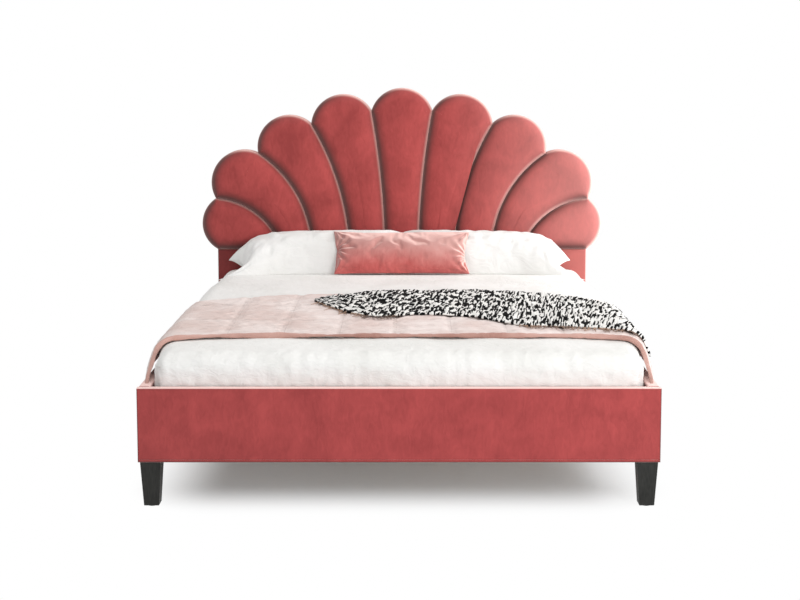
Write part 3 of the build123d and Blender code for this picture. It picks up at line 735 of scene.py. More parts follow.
def tone(red: int, green: int, blue: int) -> Tone:
    """Turn a colour of 0 to 255, as seen on a screen, into linear light.

    Args:
        red: The red part.
        green: The green part.
        blue: The blue part.

    Returns:
        The three parts, from 0 to 1.
    """
    def linear(value: float) -> float:
        """Return one part in linear light."""
        return value / 12.92 if value <= 0.04045 else ((value + 0.055) / 1.055) ** 2.4
    return tuple(linear(value / 255) for value in (red, green, blue))


@dataclass(frozen=True)
class Velvet:
    """Short-pile velvet: brushed marks in its nap, fine pile and a bright sheen at the edges.

    Where a slope is seen edge-on, one that faces right or up, towards the lamps, gets a painted sheen,
    and one that faces left or down gets painted shade. On a fan, painted light also grows towards the
    right, where the lamps stand; on a cushion, it grows towards the top and the ends.
    """

    name: str
    deep: Tone
    light: Tone
    marks: float = 7.0
    sheen: float = 1.0
    sheen_tint: Tone = (1.0, 0.88, 0.85)
    # Painted light: how much facing right and facing up count as facing the lamps, and the span over which
    # that share rises.
    light_side_shares: tuple[float, float] = (1.0, 0.4)
    light_side_span: tuple[float, float] = (-0.35, 0.50)
    # Painted light: the share of the painted sheen colour that grows towards the right, where the lamps stand.
    turned: float = 0.0
    # The painted sheen colour, and its largest share where a slope faces the lamps edge-on.
    painted_sheen: Tone = tone(255, 208, 198)
    painted_sheen_most: float = 0.85
    # The painted shade colour, and its largest share where a slope faces away from the lamps edge-on.
    hollow: Tone = tone(84, 34, 34)
    painted_shade_most: float = 0.92
    # A paler painted light towards a cushion's top and ends, and the heights over which it grows.
    crest: Optional[Tone] = None
    painted_top_light_span: tuple[float, float] = (0.0, 1.0)

    def build(self) -> Material:
        """Return the material."""
        board = NodeBoard(self.name)
        place = board.place()
        x, _, z = board.parts(place)
        nap = board.total((board.noise(place, self.marks, 4.0, 0.7), 0.65),
                          (board.noise(board.place((3.0, 3.0, 1.2)), self.marks * 2.4, 3.0, 1.2), 0.35))
        colour = board.ramp(nap, 0.34, self.deep, 0.66, self.light)
        # Painted light: paler towards the cushion's top and its ends, more so the right one, where the light
        # falls.
        if self.crest is not None:
            level = board.total((z, 1.0), (nap, 0.10), (board.math("MULTIPLY", x, x), 0.5), (x, 0.06),
                                (-0.05, 1.0))
            colour = board.mix(board.rise(level, *self.painted_top_light_span), colour, self.crest)
        # Painted light: more of the painted sheen colour towards the right, where the lamps stand.
        if self.turned:
            colour = board.mix(board.rise(x, 0.10, 0.95, self.turned), colour, self.painted_sheen)
        # How much each slope faces right or up, towards the lamps.
        right, _, up = board.parts(board.add("TexCoord").outputs["Normal"])
        lean = board.rise(board.total((right, self.light_side_shares[0]), (up, self.light_side_shares[1])),
                          *self.light_side_span)
        facing = board.add("LayerWeight", Blend=0.5).outputs["Facing"]
        black = (0.0, 0.0, 0.0)
        # Painted shade on edge-on slopes that face away from the lamps, then painted sheen on those that face
        # them.
        for low, high, most, share, painted_tone in (
                (0.04, 0.34, self.painted_shade_most, board.math("SUBTRACT", 1.0, lean), self.hollow),
                (0.28, 0.62, self.painted_sheen_most, lean, self.painted_sheen)):
            edge = board.ramp(facing, low, black, high, (most,) * 3)
            colour = board.mix(board.math("MULTIPLY", edge, share), colour, painted_tone)
        normal = board.bump(nap, 0.12, 0.01)
        normal = board.bump(board.noise(place, 1400.0, 2.0), 0.25, 0.0006, normal)
        return board.finish(colour, normal, Roughness=0.78, Specular_IOR_Level=0.18, Sheen_Weight=self.sheen,
                            Sheen_Roughness=0.5, Sheen_Tint=self.sheen_tint)


@dataclass(frozen=True)
class WovenCotton:
    """Washed cotton: a fine plain weave with small creases, and tone that drifts a little."""

    name: str
    colour: Tone
    shade: Tone
    crease: float = 0.35
    crease_scale: float = 26.0

    def build(self) -> Material:
        """Return the material."""
        board = NodeBoard(self.name)
        place = board.place()
        colour = board.ramp(board.noise(place, 5.0, 3.0), 0.35, self.shade, 0.6, self.colour)
        colour, normal = self.creased(board, place, colour)
        warp, weft = (self.threads(board, place, direction) for direction in "XY")
        normal = board.bump(board.math("MAXIMUM", warp, weft), 0.18, 0.0005, normal)
        return board.finish(colour, normal, Roughness=0.86, Specular_IOR_Level=0.22, Sheen_Weight=0.12,
                            Sheen_Roughness=0.5)

    def creased(self, board: NodeBoard, place: Socket, colour: Socket) -> tuple[Socket, Socket]:
        """Return the colour and the normals of the creased cloth.

        Args:
            board: The node tree.
            place: The place in the bed's frame.
            colour: The cloth's drifting tone.

        Returns:
            The outputs for colour and normals.
        """
        creases = board.noise(board.place((1.0, 1.0, 1.5)), self.crease_scale, 4.0, 1.4)
        return colour, board.bump(creases, self.crease, 0.012)

    @staticmethod
    def threads(board: NodeBoard, place: Socket, direction: str) -> Socket:
        """Return the height of threads about 0.7 mm apart along one direction.

        Args:
            board: The node tree.
            place: The place in the bed's frame.
            direction: X or Y.

        Returns:
            The output that carries the height.
        """
        node = board.add("TexWave", Vector=place, Scale=230.0, Distortion=1.5, Detail=1.0)
        node.bands_direction = direction
        return node.outputs["Fac"]


@dataclass(frozen=True)
class QuiltedCotton(WovenCotton):
    """Washed cotton sewn in channels: thin sunk seams, with the cloth puckered beside them."""

    half_width: float = 1.0
    first_seam: float = 0.0
    seam_pitch: float = 0.2
    rows: tuple[float, ...] = ()
    thread: float = 2.2 * MM
    pucker: float = 15 * MM

    def creased(self, board: NodeBoard, place: Socket, colour: Socket) -> tuple[Socket, Socket]:
        """Return the colour and the normals of the sewn cloth.

        Args:
            board: The node tree.
            place: The place in the bed's frame.
            colour: The cloth's drifting tone.

        Returns:
            The outputs for colour and normals.
        """
        away = self.away(board, place)
        # Painted shade along the sunk seams: the colour darkens in a thin line there.
        sunk = board.math("SUBTRACT", 1.0, board.rise(away, 0.0, self.thread))
        colour = board.mix(board.math("MULTIPLY", sunk, 0.30), colour, tuple(v * 0.55 for v in self.shade))
        near = board.math("SUBTRACT", 1.0, board.rise(away, 0.0, self.pucker))
        gathered = board.noise(board.place((16.0, 60.0, 16.0)), 1.0, 3.0, 0.8)
        creases = board.noise(board.place((0.5, 2.2, 1.5)), self.crease_scale * 0.55, 4.0, 1.2)
        # Painted shade in the crease valleys: where the crease noise is low, the colour darkens towards the
        # shade tone.
        colour = board.mix(board.ramp(creases, 0.36, (0.4,) * 3, 0.52, (0.0,) * 3), colour, self.shade)
        normal = board.bump(creases, self.crease, 0.018)
        return colour, board.bump(board.math("MULTIPLY", near, gathered), 0.5, 0.012, normal)

    def away(self, board: NodeBoard, place: Socket) -> Socket:
        """Return the distance to the nearest seam, in metres.

        Args:
            board: The node tree.
            place: The place in the bed's frame.

        Returns:
            The output that carries the distance.
        """
        run = board.parts(board.place((2 * self.half_width, 1, 1), "UV"))["X"]
        steps = board.math("DIVIDE", board.math("SUBTRACT", run, self.half_width + self.first_seam),
                           self.seam_pitch)
        share = board.math("FRACT", board.math("ADD", steps, 0.5))
        away = board.math("ABSOLUTE", board.math("SUBTRACT", share, 0.5))
        away = board.math("MULTIPLY", away, self.seam_pitch)
        y = board.parts(place)["Y"]
        for row in self.rows:
            away = board.math("MINIMUM", away, board.math("ABSOLUTE", board.math("SUBTRACT", y, row)))
        return board.total((away, 1.0), (board.noise(place, 30.0, 2.0), 0.004), (-0.002, 1.0))


@dataclass(frozen=True)
class MarlKnit:
    """Chunky knit of black, grey and off-white yarn, broken into short slanting dashes.

    Towards its right end, where it hangs, the dashes are longer, finer and paler.
    """

    name: str
    span: tuple[float, float]
    dash: tuple[float, float] = (14 * MM, 85 * MM)
    pale: Tone = tone(246, 244, 240)
    grey: Tone = tone(96, 94, 92)
    dark: Tone = tone(5, 5, 6)

    def build(self) -> Material:
        """Return the material."""
        board = NodeBoard(self.name)
        width, length = self.span
        place = board.place((width, length, 1.0), "UV", 0.10)
        x, y, _ = board.parts(place)
        right = board.rise(x, 0.45 * width, 0.95 * width, smooth=False)
        across = board.math("MULTIPLY", board.math("DIVIDE", x, self.dash[0]),
                            board.total((right, 0.35), (1.0, 1.0)))
        along = board.math("MULTIPLY", board.math("DIVIDE", y, self.dash[1]),
                           board.total((right, -0.45), (1.0, 1.0)))
        spot = board.add("CombineXYZ", X=across, Y=along).outputs["Vector"]
        level = board.total((board.noise(spot, 1.0, 1.0, 0.5), 1.0), (board.noise(place, 7.0, 2.0), 0.14),
                            (right, 0.045), (-0.07, 1.0))
        yarn = board.add("ValToRGB", Fac=level)
        bands = yarn.color_ramp.elements
        for position, colour in ((0.500, self.dark), (0.512, self.grey), (0.525, self.pale)):
            bands.new(position).color = (*colour, 1.0)
        bands[0].color, bands[-1].color = (*self.dark, 1.0), (*self.pale, 1.0)
        normal = board.bump(level, 0.7, 0.02)
        normal = board.bump(board.noise(board.place(), 420.0, 3.0), 0.5, 0.002, normal)
        return board.finish(yarn.outputs["Color"], normal, Roughness=0.95, Specular_IOR_Level=0.03,
                            Sheen_Weight=0.03, Sheen_Roughness=0.6)


@dataclass(frozen=True)
class Grain:
    """One noise pattern: its stretch along each axis, scale, detail and distortion."""

    scale: float
    detail: float
    stretch: tuple[float, float, float] = (1.0, 1.0, 1.0)
    distortion: float = 0.0

    def value(self, board: NodeBoard) -> Socket:
        """Return the pattern's value."""
        return board.noise(board.place(self.stretch), self.scale, self.detail, self.distortion)


@dataclass(frozen=True)
class Hard:
    """Timber, lacquer, metal or moulding: two tones that follow a grain, and a fine relief.

    The height is the relief's strength and distance, and the gloss its roughness, specular level and
    metallic share.
    """

    name: str
    dark: Tone
    pale: Tone
    span: tuple[float, float]
    grain: Grain
    relief: Grain
    height: tuple[float, float]
    gloss: tuple[float, float, float]
    cloud: Optional[Grain] = None

    def build(self) -> Material:
        """Return the material."""
        board = NodeBoard(self.name)
        value = self.grain.value(board)
        if self.cloud is not None:
            value = board.total((value, 0.6), (self.cloud.value(board), 0.4))
        colour = board.ramp(value, self.span[0], self.dark, self.span[1], self.pale)
        roughness, specular, metallic = self.gloss
        return board.finish(colour, board.bump(self.relief.value(board), *self.height), Roughness=roughness,
                            Specular_IOR_Level=specular, Metallic=metallic)


@dataclass(frozen=True)
class Particles:
    """Pressed board or foam: grains of two tones."""

    name: str
    pale: Tone
    dark: Tone
    grain: float

    def build(self) -> Material:
        """Return the material."""
        board = NodeBoard(self.name)
        place = board.place()
        chips = board.add("TexVoronoi", Vector=place, Scale=self.grain).outputs["Distance"]
        tones = board.total((chips, 0.5), (board.noise(place, self.grain / 3, 4.0), 0.6))
        colour = board.ramp(tones, 0.3, self.dark, 0.7, self.pale)
        return board.finish(colour, board.bump(chips, 0.3, 0.0008), Roughness=0.85, Specular_IOR_Level=0.25)


class Palette:
    """Every finish of the bed, built once."""

    def __init__(self) -> None:
        """Build the materials."""
        fan = {"sheen": 0.8, "sheen_tint": (1.0, 0.70, 0.66)}
        # The petals: painted light that grows towards the right, and darker painted shade on slopes facing
        # away, as in the grooves.
        self.petal = Velvet("rose_velvet_petals", tone(147, 55, 54), tone(178, 73, 71), turned=0.17,
                            hollow=tone(62, 25, 24), **fan).build()
        # The panel: the petals' velvet in darker tones, as painted shade for its place in shadow under the
        # fan, with painted light and a pinker painted sheen growing towards the right.
        self.panel = Velvet("rose_velvet_panel_painted_shade", tone(112, 42, 42), tone(136, 54, 53), turned=0.346,
                            painted_sheen=tone(255, 155, 146), **fan).build()
        # The rails: painted sheen that is strongest on their top faces, and painted shade on their sides where
        # they are seen edge-on.
        self.rail = Velvet("rose_velvet_rails", tone(153, 59, 59), tone(178, 73, 72), marks=8.5,
                           sheen=0.6, sheen_tint=(1.0, 0.74, 0.70), light_side_shares=(0.0, 0.5),
                           light_side_span=(0.0, 0.5), painted_sheen=tone(255, 220, 213), painted_sheen_most=1.0).build()
        # The cushion: milder painted shade on slopes that face away from the lamps, and a paler painted light
        # towards its top and ends.
        self.cushion = Velvet("coral_velvet", tone(184, 80, 77), tone(206, 100, 96), marks=9.0,
                              hollow=tone(120, 46, 44), painted_shade_most=0.6, crest=tone(200, 152, 145),
                              painted_top_light_span=(0.53, 0.70)).build()
        self.white = WovenCotton("white_cotton", tone(243, 242, 239), tone(235, 234, 230)).build()
        self.pillow = WovenCotton("white_pillow_cotton", tone(241, 240, 238), tone(234, 233, 230),
                                  crease=0.45, crease_scale=12.0).build()
        self.binding = WovenCotton("pink_binding", tone(210, 168, 157), tone(178, 133, 122),
                                   crease=0.6, crease_scale=16.0).build()
        self.ticking = WovenCotton("mattress_ticking", tone(236, 234, 230), tone(226, 224, 220),
                                   crease=0.15, crease_scale=18.0).build()
        self.lining = WovenCotton("dark_lining", tone(40, 40, 43), tone(30, 30, 33), crease=0.2).build()
        self.fringe = WovenCotton("fringe_yarn", tone(176, 142, 120), tone(74, 60, 54),
                                  crease=0.3).build()
        self.board = Particles("raw_board", tone(196, 170, 134), tone(150, 122, 88), grain=300.0).build()
        self.foam = Particles("open_foam", tone(240, 232, 204), tone(222, 210, 176), grain=500.0).build()
        self.pine = self.timber("planed_pine", tone(180, 138, 92), tone(214, 180, 134), (4.0, 0.4, 4.0))
        self.beech = self.timber("bent_beech", tone(196, 154, 114), tone(222, 186, 146), (0.4, 4.0, 4.0))
        streaks = Grain(26.0, 5.0, stretch=(14.0, 14.0, 1.0), distortion=0.8)
        self.lacquer = Hard("black_lacquer", tone(32, 32, 30), tone(51, 51, 48), span=(0.38, 0.68),
                            grain=streaks, relief=streaks, height=(0.2, 0.0008), gloss=(0.55, 0.22, 0.0),
                            cloud=Grain(18.0, 3.0)).build()
        self.zinc = self.metal("zinc_plate", tone(150, 150, 148), tone(196, 196, 192), 0.38, 1.0)
        self.coat = self.metal("black_powder_coat", tone(32, 32, 32), tone(44, 44, 44), 0.5, 0.0)
        self.plastic = Hard("black_moulding", tone(38, 38, 38), tone(56, 56, 55), span=(0.4, 0.7),
                            grain=Grain(30.0, 4.0), relief=Grain(1600.0, 2.0), height=(0.3, 0.0003),
                            gloss=(0.6, 0.4, 0.0)).build()

    @staticmethod
    def timber(name: str, late: Tone, early: Tone, along: tuple[float, float, float]) -> Material:
        """Return planed timber with its grain along one axis."""
        return Hard(name, late, early, span=(0.35, 0.62), grain=Grain(60.0, 6.0, along, 1.8),
                    relief=Grain(420.0, 2.0, along), height=(0.25, 0.0006), gloss=(0.5, 0.4, 0.0)).build()

    @staticmethod
    def metal(name: str, dull: Tone, bright: Tone, roughness: float, metallic: float) -> Material:
        """Return plated or coated steel with fine brushing and smudges."""
        return Hard(name, dull, bright, span=(0.35, 0.65), grain=Grain(90.0, 4.0),
                    relief=Grain(120.0, 3.0, (1.0, 1.0, 30.0)), height=(0.15, 0.0004),
                    gloss=(roughness, 0.5, metallic)).build()


# Headboard


@dataclass
class FanHeadboard:
    """The headboard: nine padded petals, the panel below them, the edge band and the back lining.

    The fan is drawn from shares of its half width and of its rise, as (x, z): each groove's notch,
    middle and foot, and the flank of the outermost petals.
    """

    palette: Palette
    slot_half: float = 0.4 * MM
    puff: float = 32 * MM
    puff_inset: float = 52 * MM
    puff_power: float = 1.9
    puff_steps: int = 16
    crown: float = 14 * MM
    crown_reach: float = 105 * MM
    reach_step: float = 2.5 * MM
    reach_most: float = 200 * MM
    reach_kept: float = 0.92
    free_share: float = 0.85
    smoothings: int = 8
    ring_power: float = 2.2
    ring_end: float = 0.96
    step: float = 8 * MM
    fan_scale: float = 1.0003354
    tip_share: float = 0.368
    tip_length: float = 1.35
    flank: tuple[float, float] = (0.9985, 0.185)
    grooves: tuple[Line, ...] = (
        ((0.152, 0.862), (0.113, 0.543), (0.084, 0.0)),
        ((0.452, 0.780), (0.307, 0.356), (0.262, 0.0)),
        ((0.717, 0.598), (0.499, 0.272), (0.452, 0.0)),
        ((0.931, 0.318), (0.711, 0.202), (0.602, 0.0)),
    )
    panel_round: float = 9 * MM
    pocket: float = 5 * MM
    block_side: float = 60 * MM
    band_round: float = 3 * MM
    lip: float = 32 * MM
    lining_inset: float = 12 * MM
    staple_inset: float = 19 * MM
    staple_pitch: float = 45 * MM
    staple_half: float = 5 * MM
    staple_wire: float = 0.6 * MM
    low: Vector = field(init=False)
    high: Vector = field(init=False)
    panel_low: Vector = field(init=False)
    panel_high: Vector = field(init=False)
    fan_half: float = field(init=False)
    half_width: float = field(init=False)
    base: float = field(init=False)
    rise: float = field(init=False)
    depth: float = field(init=False)

    def __post_init__(self) -> None:
        """Read the headboard's place from the frame."""
        self.low, self.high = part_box("headboard_back_cover")
        self.panel_low, self.panel_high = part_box("headboard_panel")
        petal_low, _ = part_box("petal_pad_5")
        self.fan_half = self.high.x * self.fan_scale
        self.half_width = self.panel_high.x
        self.base = petal_low.z - 1.5 * MM
        self.rise = self.high.z - self.base
        self.depth = self.panel_high.y - petal_low.y

    def point(self, share: Sequence[float]) -> np.ndarray:
        """Return a place in the fan as (x, z)."""
        return np.array((share[0] * self.fan_half, self.base + share[1] * self.rise))

    def curve(self, start: Sequence[float], middle: Sequence[float], end: Sequence[float],
              side: int) -> np.ndarray:
        """Return the arc through three points of the right half, mirrored where side is -1.

        Args:
            start: The first point.
            middle: A point that the arc goes through.
            end: The last point.
            side: 1 for the right half and -1 for the left.

        Returns:
            The points about a step apart.
        """
        length = math.dist(start, middle) + math.dist(middle, end)
        return arc(start, middle, end, round(length / self.step)) * (side, 1)

    def groove(self, index: int, side: int) -> np.ndarray:
        """Return the arc of one groove, from its foot on the base line up to its notch."""
        notch, middle, foot = (self.point(share) for share in self.grooves[index])
        return self.curve(foot, middle, notch, side)

    def tip(self, start: np.ndarray, end: np.ndarray) -> np.ndarray:
        """Return the round tip between two notches, from left to right.

        Args:
            start: The left notch.
            end: The right notch.

        Returns:
            The tip's points.
        """
        chord = end - start
        crown = (start + end) / 2 + self.tip_share * np.array([-chord[1], chord[0]])
        return arc(start, crown, end, round(float(np.linalg.norm(chord)) * self.tip_length / self.step))

    def outer_side(self, side: int) -> np.ndarray:
        """Return the outer petal's round side, from its notch down to its foot."""
        notch = self.point(self.grooves[-1][0])
        return self.curve(notch, self.point(self.flank), (self.half_width, self.base), side)

    def straight(self, start: Sequence[float], end: Sequence[float]) -> np.ndarray:
        """Return points along a straight stretch."""
        count = max(2, round(math.dist(start, end) / self.step))
        return np.array(start) + np.subtract(end, start) * np.linspace(0, 1, count)[:, None]

    def petal_outline(self, number: int) -> np.ndarray:
        """Return the outline of petal 1 (far left) to 9 (far right), as (x, z) points.

        Args:
            number: The petal's number.

        Returns:
            The closed outline.
        """
        place = number - 5
        side, rank = (1 if place >= 0 else -1), abs(place)
        if rank == 4:
            groove, outer = self.groove(3, side), self.outer_side(side)
            return joined([groove, outer, self.straight(outer[-1], groove[0])], self.step)
        near = self.groove(rank - 1, side) if rank else self.groove(0, -1)
        left, right = sorted((near, self.groove(rank, side)), key=lambda line: line[-1, 0])
        return joined([left, self.tip(left[-1], right[-1]), right[::-1], self.straight(right[0], left[0])],
                      self.step)

    def board_outline(self) -> np.ndarray:
        """Return the outline of the whole headboard.

        Returns:
            The closed outline.
        """
        notches = [self.point(groove[0]) for groove in self.grooves]
        rim = [point * (-1, 1) for point in reversed(notches)] + notches
        parts = [self.outer_side(-1)[::-1]]
        parts += [self.tip(start, end) for start, end in zip(rim[:-1], rim[1:])]
        parts.append(self.outer_side(1))
        corners = [(self.half_width, self.base), (self.half_width, self.low.z),
                   (-self.half_width, self.low.z), (-self.half_width, self.base)]
        parts += [self.straight(start, end) for start, end in zip(corners[:-1], corners[1:])]
        return joined(parts, self.step)

    def reach_in(self, outline: np.ndarray) -> tuple[np.ndarray, np.ndarray]:
        """Work out how far each point of a petal's outline can go inwards before the petal's middle line.

        Args:
            outline: The petal's closed, anticlockwise outline.

        Returns:
            The unit directions and the distances.
        """
        inwards = np.sum(normals_in(outline), axis=0)
        inwards /= np.linalg.norm(inwards, axis=1, keepdims=True)
        reach = np.zeros(len(outline))
        free = np.ones(len(outline), bool)
        for distance in np.arange(self.reach_step, self.reach_most, self.reach_step):
            free &= gaps_to(outline + inwards * distance, outline) > self.free_share * distance
            reach[free] = self.reach_kept * distance
        soft = reach
        for _ in range(self.smoothings):
            soft = (np.roll(soft, 1) + 2 * soft + np.roll(soft, -1)) / 4
        return inwards, np.minimum(soft, reach)

    def make_petal(self, number: int) -> None:
        """Model one petal: upright sides, a rolled rim and a crowned face, pulled tight.

        Args:
            number: The petal's number, from 1 at the far left.
        """
        edge = inward(self.petal_outline(number), self.slot_half)
        inwards, reach = self.reach_in(edge)
        front = self.panel_high.y
        shoulder = self.depth - self.puff - self.crown
        rings = [upright(edge, front), upright(edge, front - shoulder * 0.5)]
        for step in range(self.puff_steps + 1):
            share = self.ring_end * (step / self.puff_steps) ** self.ring_power
            line = edge + inwards * (share * reach)[:, None]
            inset = soft_gaps(line, edge) if step else np.zeros(len(edge))
            roll = np.minimum(inset / self.puff_inset, 1)
            height = shoulder + self.puff * (1 - (1 - roll) ** self.puff_power) ** (1 / self.puff_power)
            height += self.crown * (1 - (1 - np.minimum(inset / self.crown_reach, 1)) ** 2)
            rings.append(np.column_stack([line[:, 0], front - height, line[:, 1]]))
        piece = ring_loft(f"petal_{number}", rings, (0, -1))
        complete(piece, self.palette.petal, [f"petal_pad_{number}"],
                 degrees=50)

    def make_panel(self) -> None:
        """Model the padded panel below the fan, with pockets for the corner blocks and the hanger."""
        piece = block("lower_panel", self.panel_low, self.panel_high)
        round_edges(piece, self.panel_round, 5, points_of(piece)[:, 1] < self.panel_low.y + MM)
        block_low, block_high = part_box("corner_blocks")
        hanger_low, hanger_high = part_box("beam_hangers")
        inner, outer = block_high.x - self.block_side - self.pocket, block_high.x + 0.2 * MM
        for left, right, bottom, top in (
                (-outer, -inner, block_low.z, block_high.z), (inner, outer, block_low.z, block_high.z),
                (hanger_low.x - self.pocket, hanger_high.x + self.pocket, hanger_low.z, hanger_high.z)):
            cut_away(piece, (left, self.panel_low.y - self.pocket, bottom - self.pocket),
                     (right, self.panel_high.y + self.pocket, top + self.pocket))
        complete(piece, self.palette.panel, ["headboard_panel"], degrees=40)

    def make_band(self) -> None:
        """Model the velvet band round the rim, turned over onto the back."""
        outline = self.board_outline()
        front, back = self.panel_high.y, self.low.y
        lip = back + 0.6 * MM
        rings = [upright(inward(outline, inset), depth) for inset, depth in (
            (4 * MM, front + 0.1 * MM), (1 * MM, front + 0.3 * MM), (0.0, front + self.band_round),
            (0.0, back - self.band_round), (1 * MM, back - 1 * MM), (self.band_round, lip - 0.2 * MM),
            (self.lip / 2, lip), (self.lip, lip))]
        piece = ring_loft("rim_band", rings)
        apply_modifier(piece, "SOLIDIFY", thickness=0.8 * MM, offset=-1.0)
        complete(piece, self.palette.petal, ["headboard_border"], degrees=50)

    def make_lining(self) -> None:
        """Model the back lining with its turned hem and a gentle sag between its staples."""
        outline, face, inset = self.board_outline(), self.high.y, self.lining_inset
        rings = [upright(inward(outline, inset + further), depth) for further, depth in (
            (0.0, self.low.y + 0.9 * MM), (0.0, face - 0.3 * MM), (1 * MM, face), (14 * MM, face),
            (15 * MM, face - 0.6 * MM), (60 * MM, face - 0.7 * MM))]
        piece = ring_loft("back_lining", rings, (0, -1))
        area_of(inward(outline, inset))
        complete(piece, self.palette.lining, ["headboard_back_cover"], degrees=40)

    def make_staples(self) -> None:
        """Model the staples along the lining's hem, one shape repeated."""
        line = inward(self.board_outline(), self.staple_inset)
        ahead = np.roll(line, -1, axis=0) - line
        run = np.concatenate([[0], np.cumsum(np.linalg.norm(ahead, axis=1))])
        staples = []
        for place in np.arange(0, run[-1] - self.staple_pitch / 2, self.staple_pitch):
            index = min(int(np.searchsorted(run, place)), len(line) - 1)
            staples.append(self.make_staple(line[index], math.atan2(ahead[index, 1], ahead[index, 0])))
        complete(join_all("lining_staples", staples), self.palette.zinc, degrees=0.0)

    def make_staple(self, place: np.ndarray, angle: float) -> Piece:
        """Model the crown of the staple at a place (x, z), turned to lie along the hem.

        Args:
            place: The crown's middle.
            angle: The hem's angle, in radians.

        Returns:
            The staple.
        """
        half, wire = self.staple_half, self.staple_wire
        piece = block("staple", (-half, 0, -wire), (half, wire, wire))
        round_edges(piece, 0.3 * MM, 1, points_of(piece)[:, 1] > wire / 2)
        x, y, z = points_of(piece).T
        set_points(piece, np.stack([place[0] + x * math.cos(angle) - z * math.sin(angle),
                                    self.high.y + y - 0.2 * MM,
                                    place[1] + x * math.sin(angle) + z * math.cos(angle)], axis=1))
        return piece

    def build(self) -> None:
        """Model the whole headboard."""
        for number in range(1, 10):
            self.make_petal(number)
        self.make_panel()
        self.make_band()
        self.make_lining()
        self.make_staples()


# Footboard and side rails


@dataclass
class PaddedRails:
    """The padded covers of the footboard and the two side rails."""

    palette: Palette
    round: float = 7 * MM
    seam_height: float = 11 * MM
    seam_width: float = 1.6 * MM
    seam_depth: float = 1.2 * MM
    clearance: float = 0.2 * MM
    overrun: float = 5 * MM

    def make_cover(self, name: str, node: str, side: Optional[Side] = None) -> None:
        """Model one cover, open underneath where its board slides in, with a sewn line near its hem.

        Args:
            name: The piece's name.
            node: The node that it replaces.
            side: Its side, or None for the footboard. A side rail's cover is open at its ends too.
        """
        low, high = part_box(node)
        piece = block(name, low, high)
        x, y, z = points_of(piece).T
        top, over = z > high.z - MM, self.overrun
        if side is None:
            shown, ends = (y < low.y + MM, top & (y > high.y - MM)), 0.0
            seam_x, seam_y = (low.x - over, high.x + over), (low.y - over, low.y + self.seam_depth)
        else:
            middle = (low.x + high.x) / 2
            shown, ends = (top & (x < middle), top & (x > middle)), over
            outer = high.x if high.x > 0 else low.x
            seam_x = sorted(outer + math.copysign(step, outer * step) for step in (-self.seam_depth, over))
            seam_y = (low.y - over, high.y + over)
        round_edges(piece, self.round, 5, *shown)
        core_low, core_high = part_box(node.replace("cover", "core"))
        reach = Vector((self.clearance, self.clearance + ends, self.clearance))
        cut_away(piece, core_low - reach - Vector((0, 0, over)), core_high + reach)
        level, half = low.z + self.seam_height, self.seam_width / 2
        cut_away(piece, (seam_x[0], seam_y[0], level - half), (seam_x[1], seam_y[1], level + half))
        complete(piece, self.palette.rail, [node], degrees=40)

    def build(self) -> None:
        """Model all three covers."""
        self.make_cover("footboard_padding", "footboard_cover")
        for side in Side:
            self.make_cover(f"side_padding_{side.word}", f"side_rail_cover_{side.word}", side)


# Mattress


@dataclass
class Mattress:
    """The mattress's ticking, with taped edges."""

    palette: Palette
    edge_round: float = 30 * MM
    corner: float = 45 * MM
    tape: float = 5 * MM
    corner_steps: int = 8
    low: Vector = field(init=False)
    high: Vector = field(init=False)

    def __post_init__(self) -> None:
        """Read the mattress's place from the frame."""
        self.low, self.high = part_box("mattress_ticking")

    def ring(self, inset: float, level: float) -> np.ndarray:
        """Return the mattress's outline at a level, moved inwards by an inset.

        Args:
            inset: How far inside the mattress's sides it runs.
            level: Its height.

        Returns:
            One row of x, y and z for each point.
        """
        low, high = self.low, self.high
        radius = max(self.corner - inset, 4 * MM)
        middle = (low.y + high.y) / 2
        corners = []
        for turn, x, y in ((0, high.x, high.y), (1, low.x, high.y), (2, low.x, low.y), (3, high.x, low.y)):
            centre = np.array((x - math.copysign(radius + inset, x),
                               y - math.copysign(radius + inset, y - middle)))
            angles = np.linspace(turn, turn + 1, self.corner_steps) * math.pi / 2
            corners.append(centre + radius * np.stack([np.cos(angles), np.sin(angles)], axis=1))
        line = np.concatenate(corners)
        return np.column_stack([line, np.full(len(line), level)])

    def build(self) -> None:
        """Model the ticking and the two tapes."""
        bottom, top = self.low.z, self.high.z
        rings = [self.ring(inset, level) for inset, level in (
            (self.edge_round, bottom), (8 * MM, bottom + 5 * MM), (1 * MM, bottom + 14 * MM),
            (0.0, bottom + 30 * MM), (0.0, top - 34 * MM), (2 * MM, top - 22 * MM),
            (12 * MM, top - 7 * MM), (self.edge_round, top - 1 * MM), (60 * MM, top))]
        complete(ring_loft("mattress", rings, (0, -1)), self.palette.ticking,
                 ["mattress_ticking", "mattress_core"], degrees=60)
        for word, level in (("lower", bottom + 16 * MM), ("upper", top - 26 * MM)):
            rings = [self.ring(0.45 * self.tape * (1 - math.cos(angle)), level + self.tape * math.sin(angle))
                     for angle in np.linspace(0, 2 * math.pi, 8)]
            complete(ring_loft(f"mattress_tape_{word}", rings), self.palette.ticking)


# Bed linen


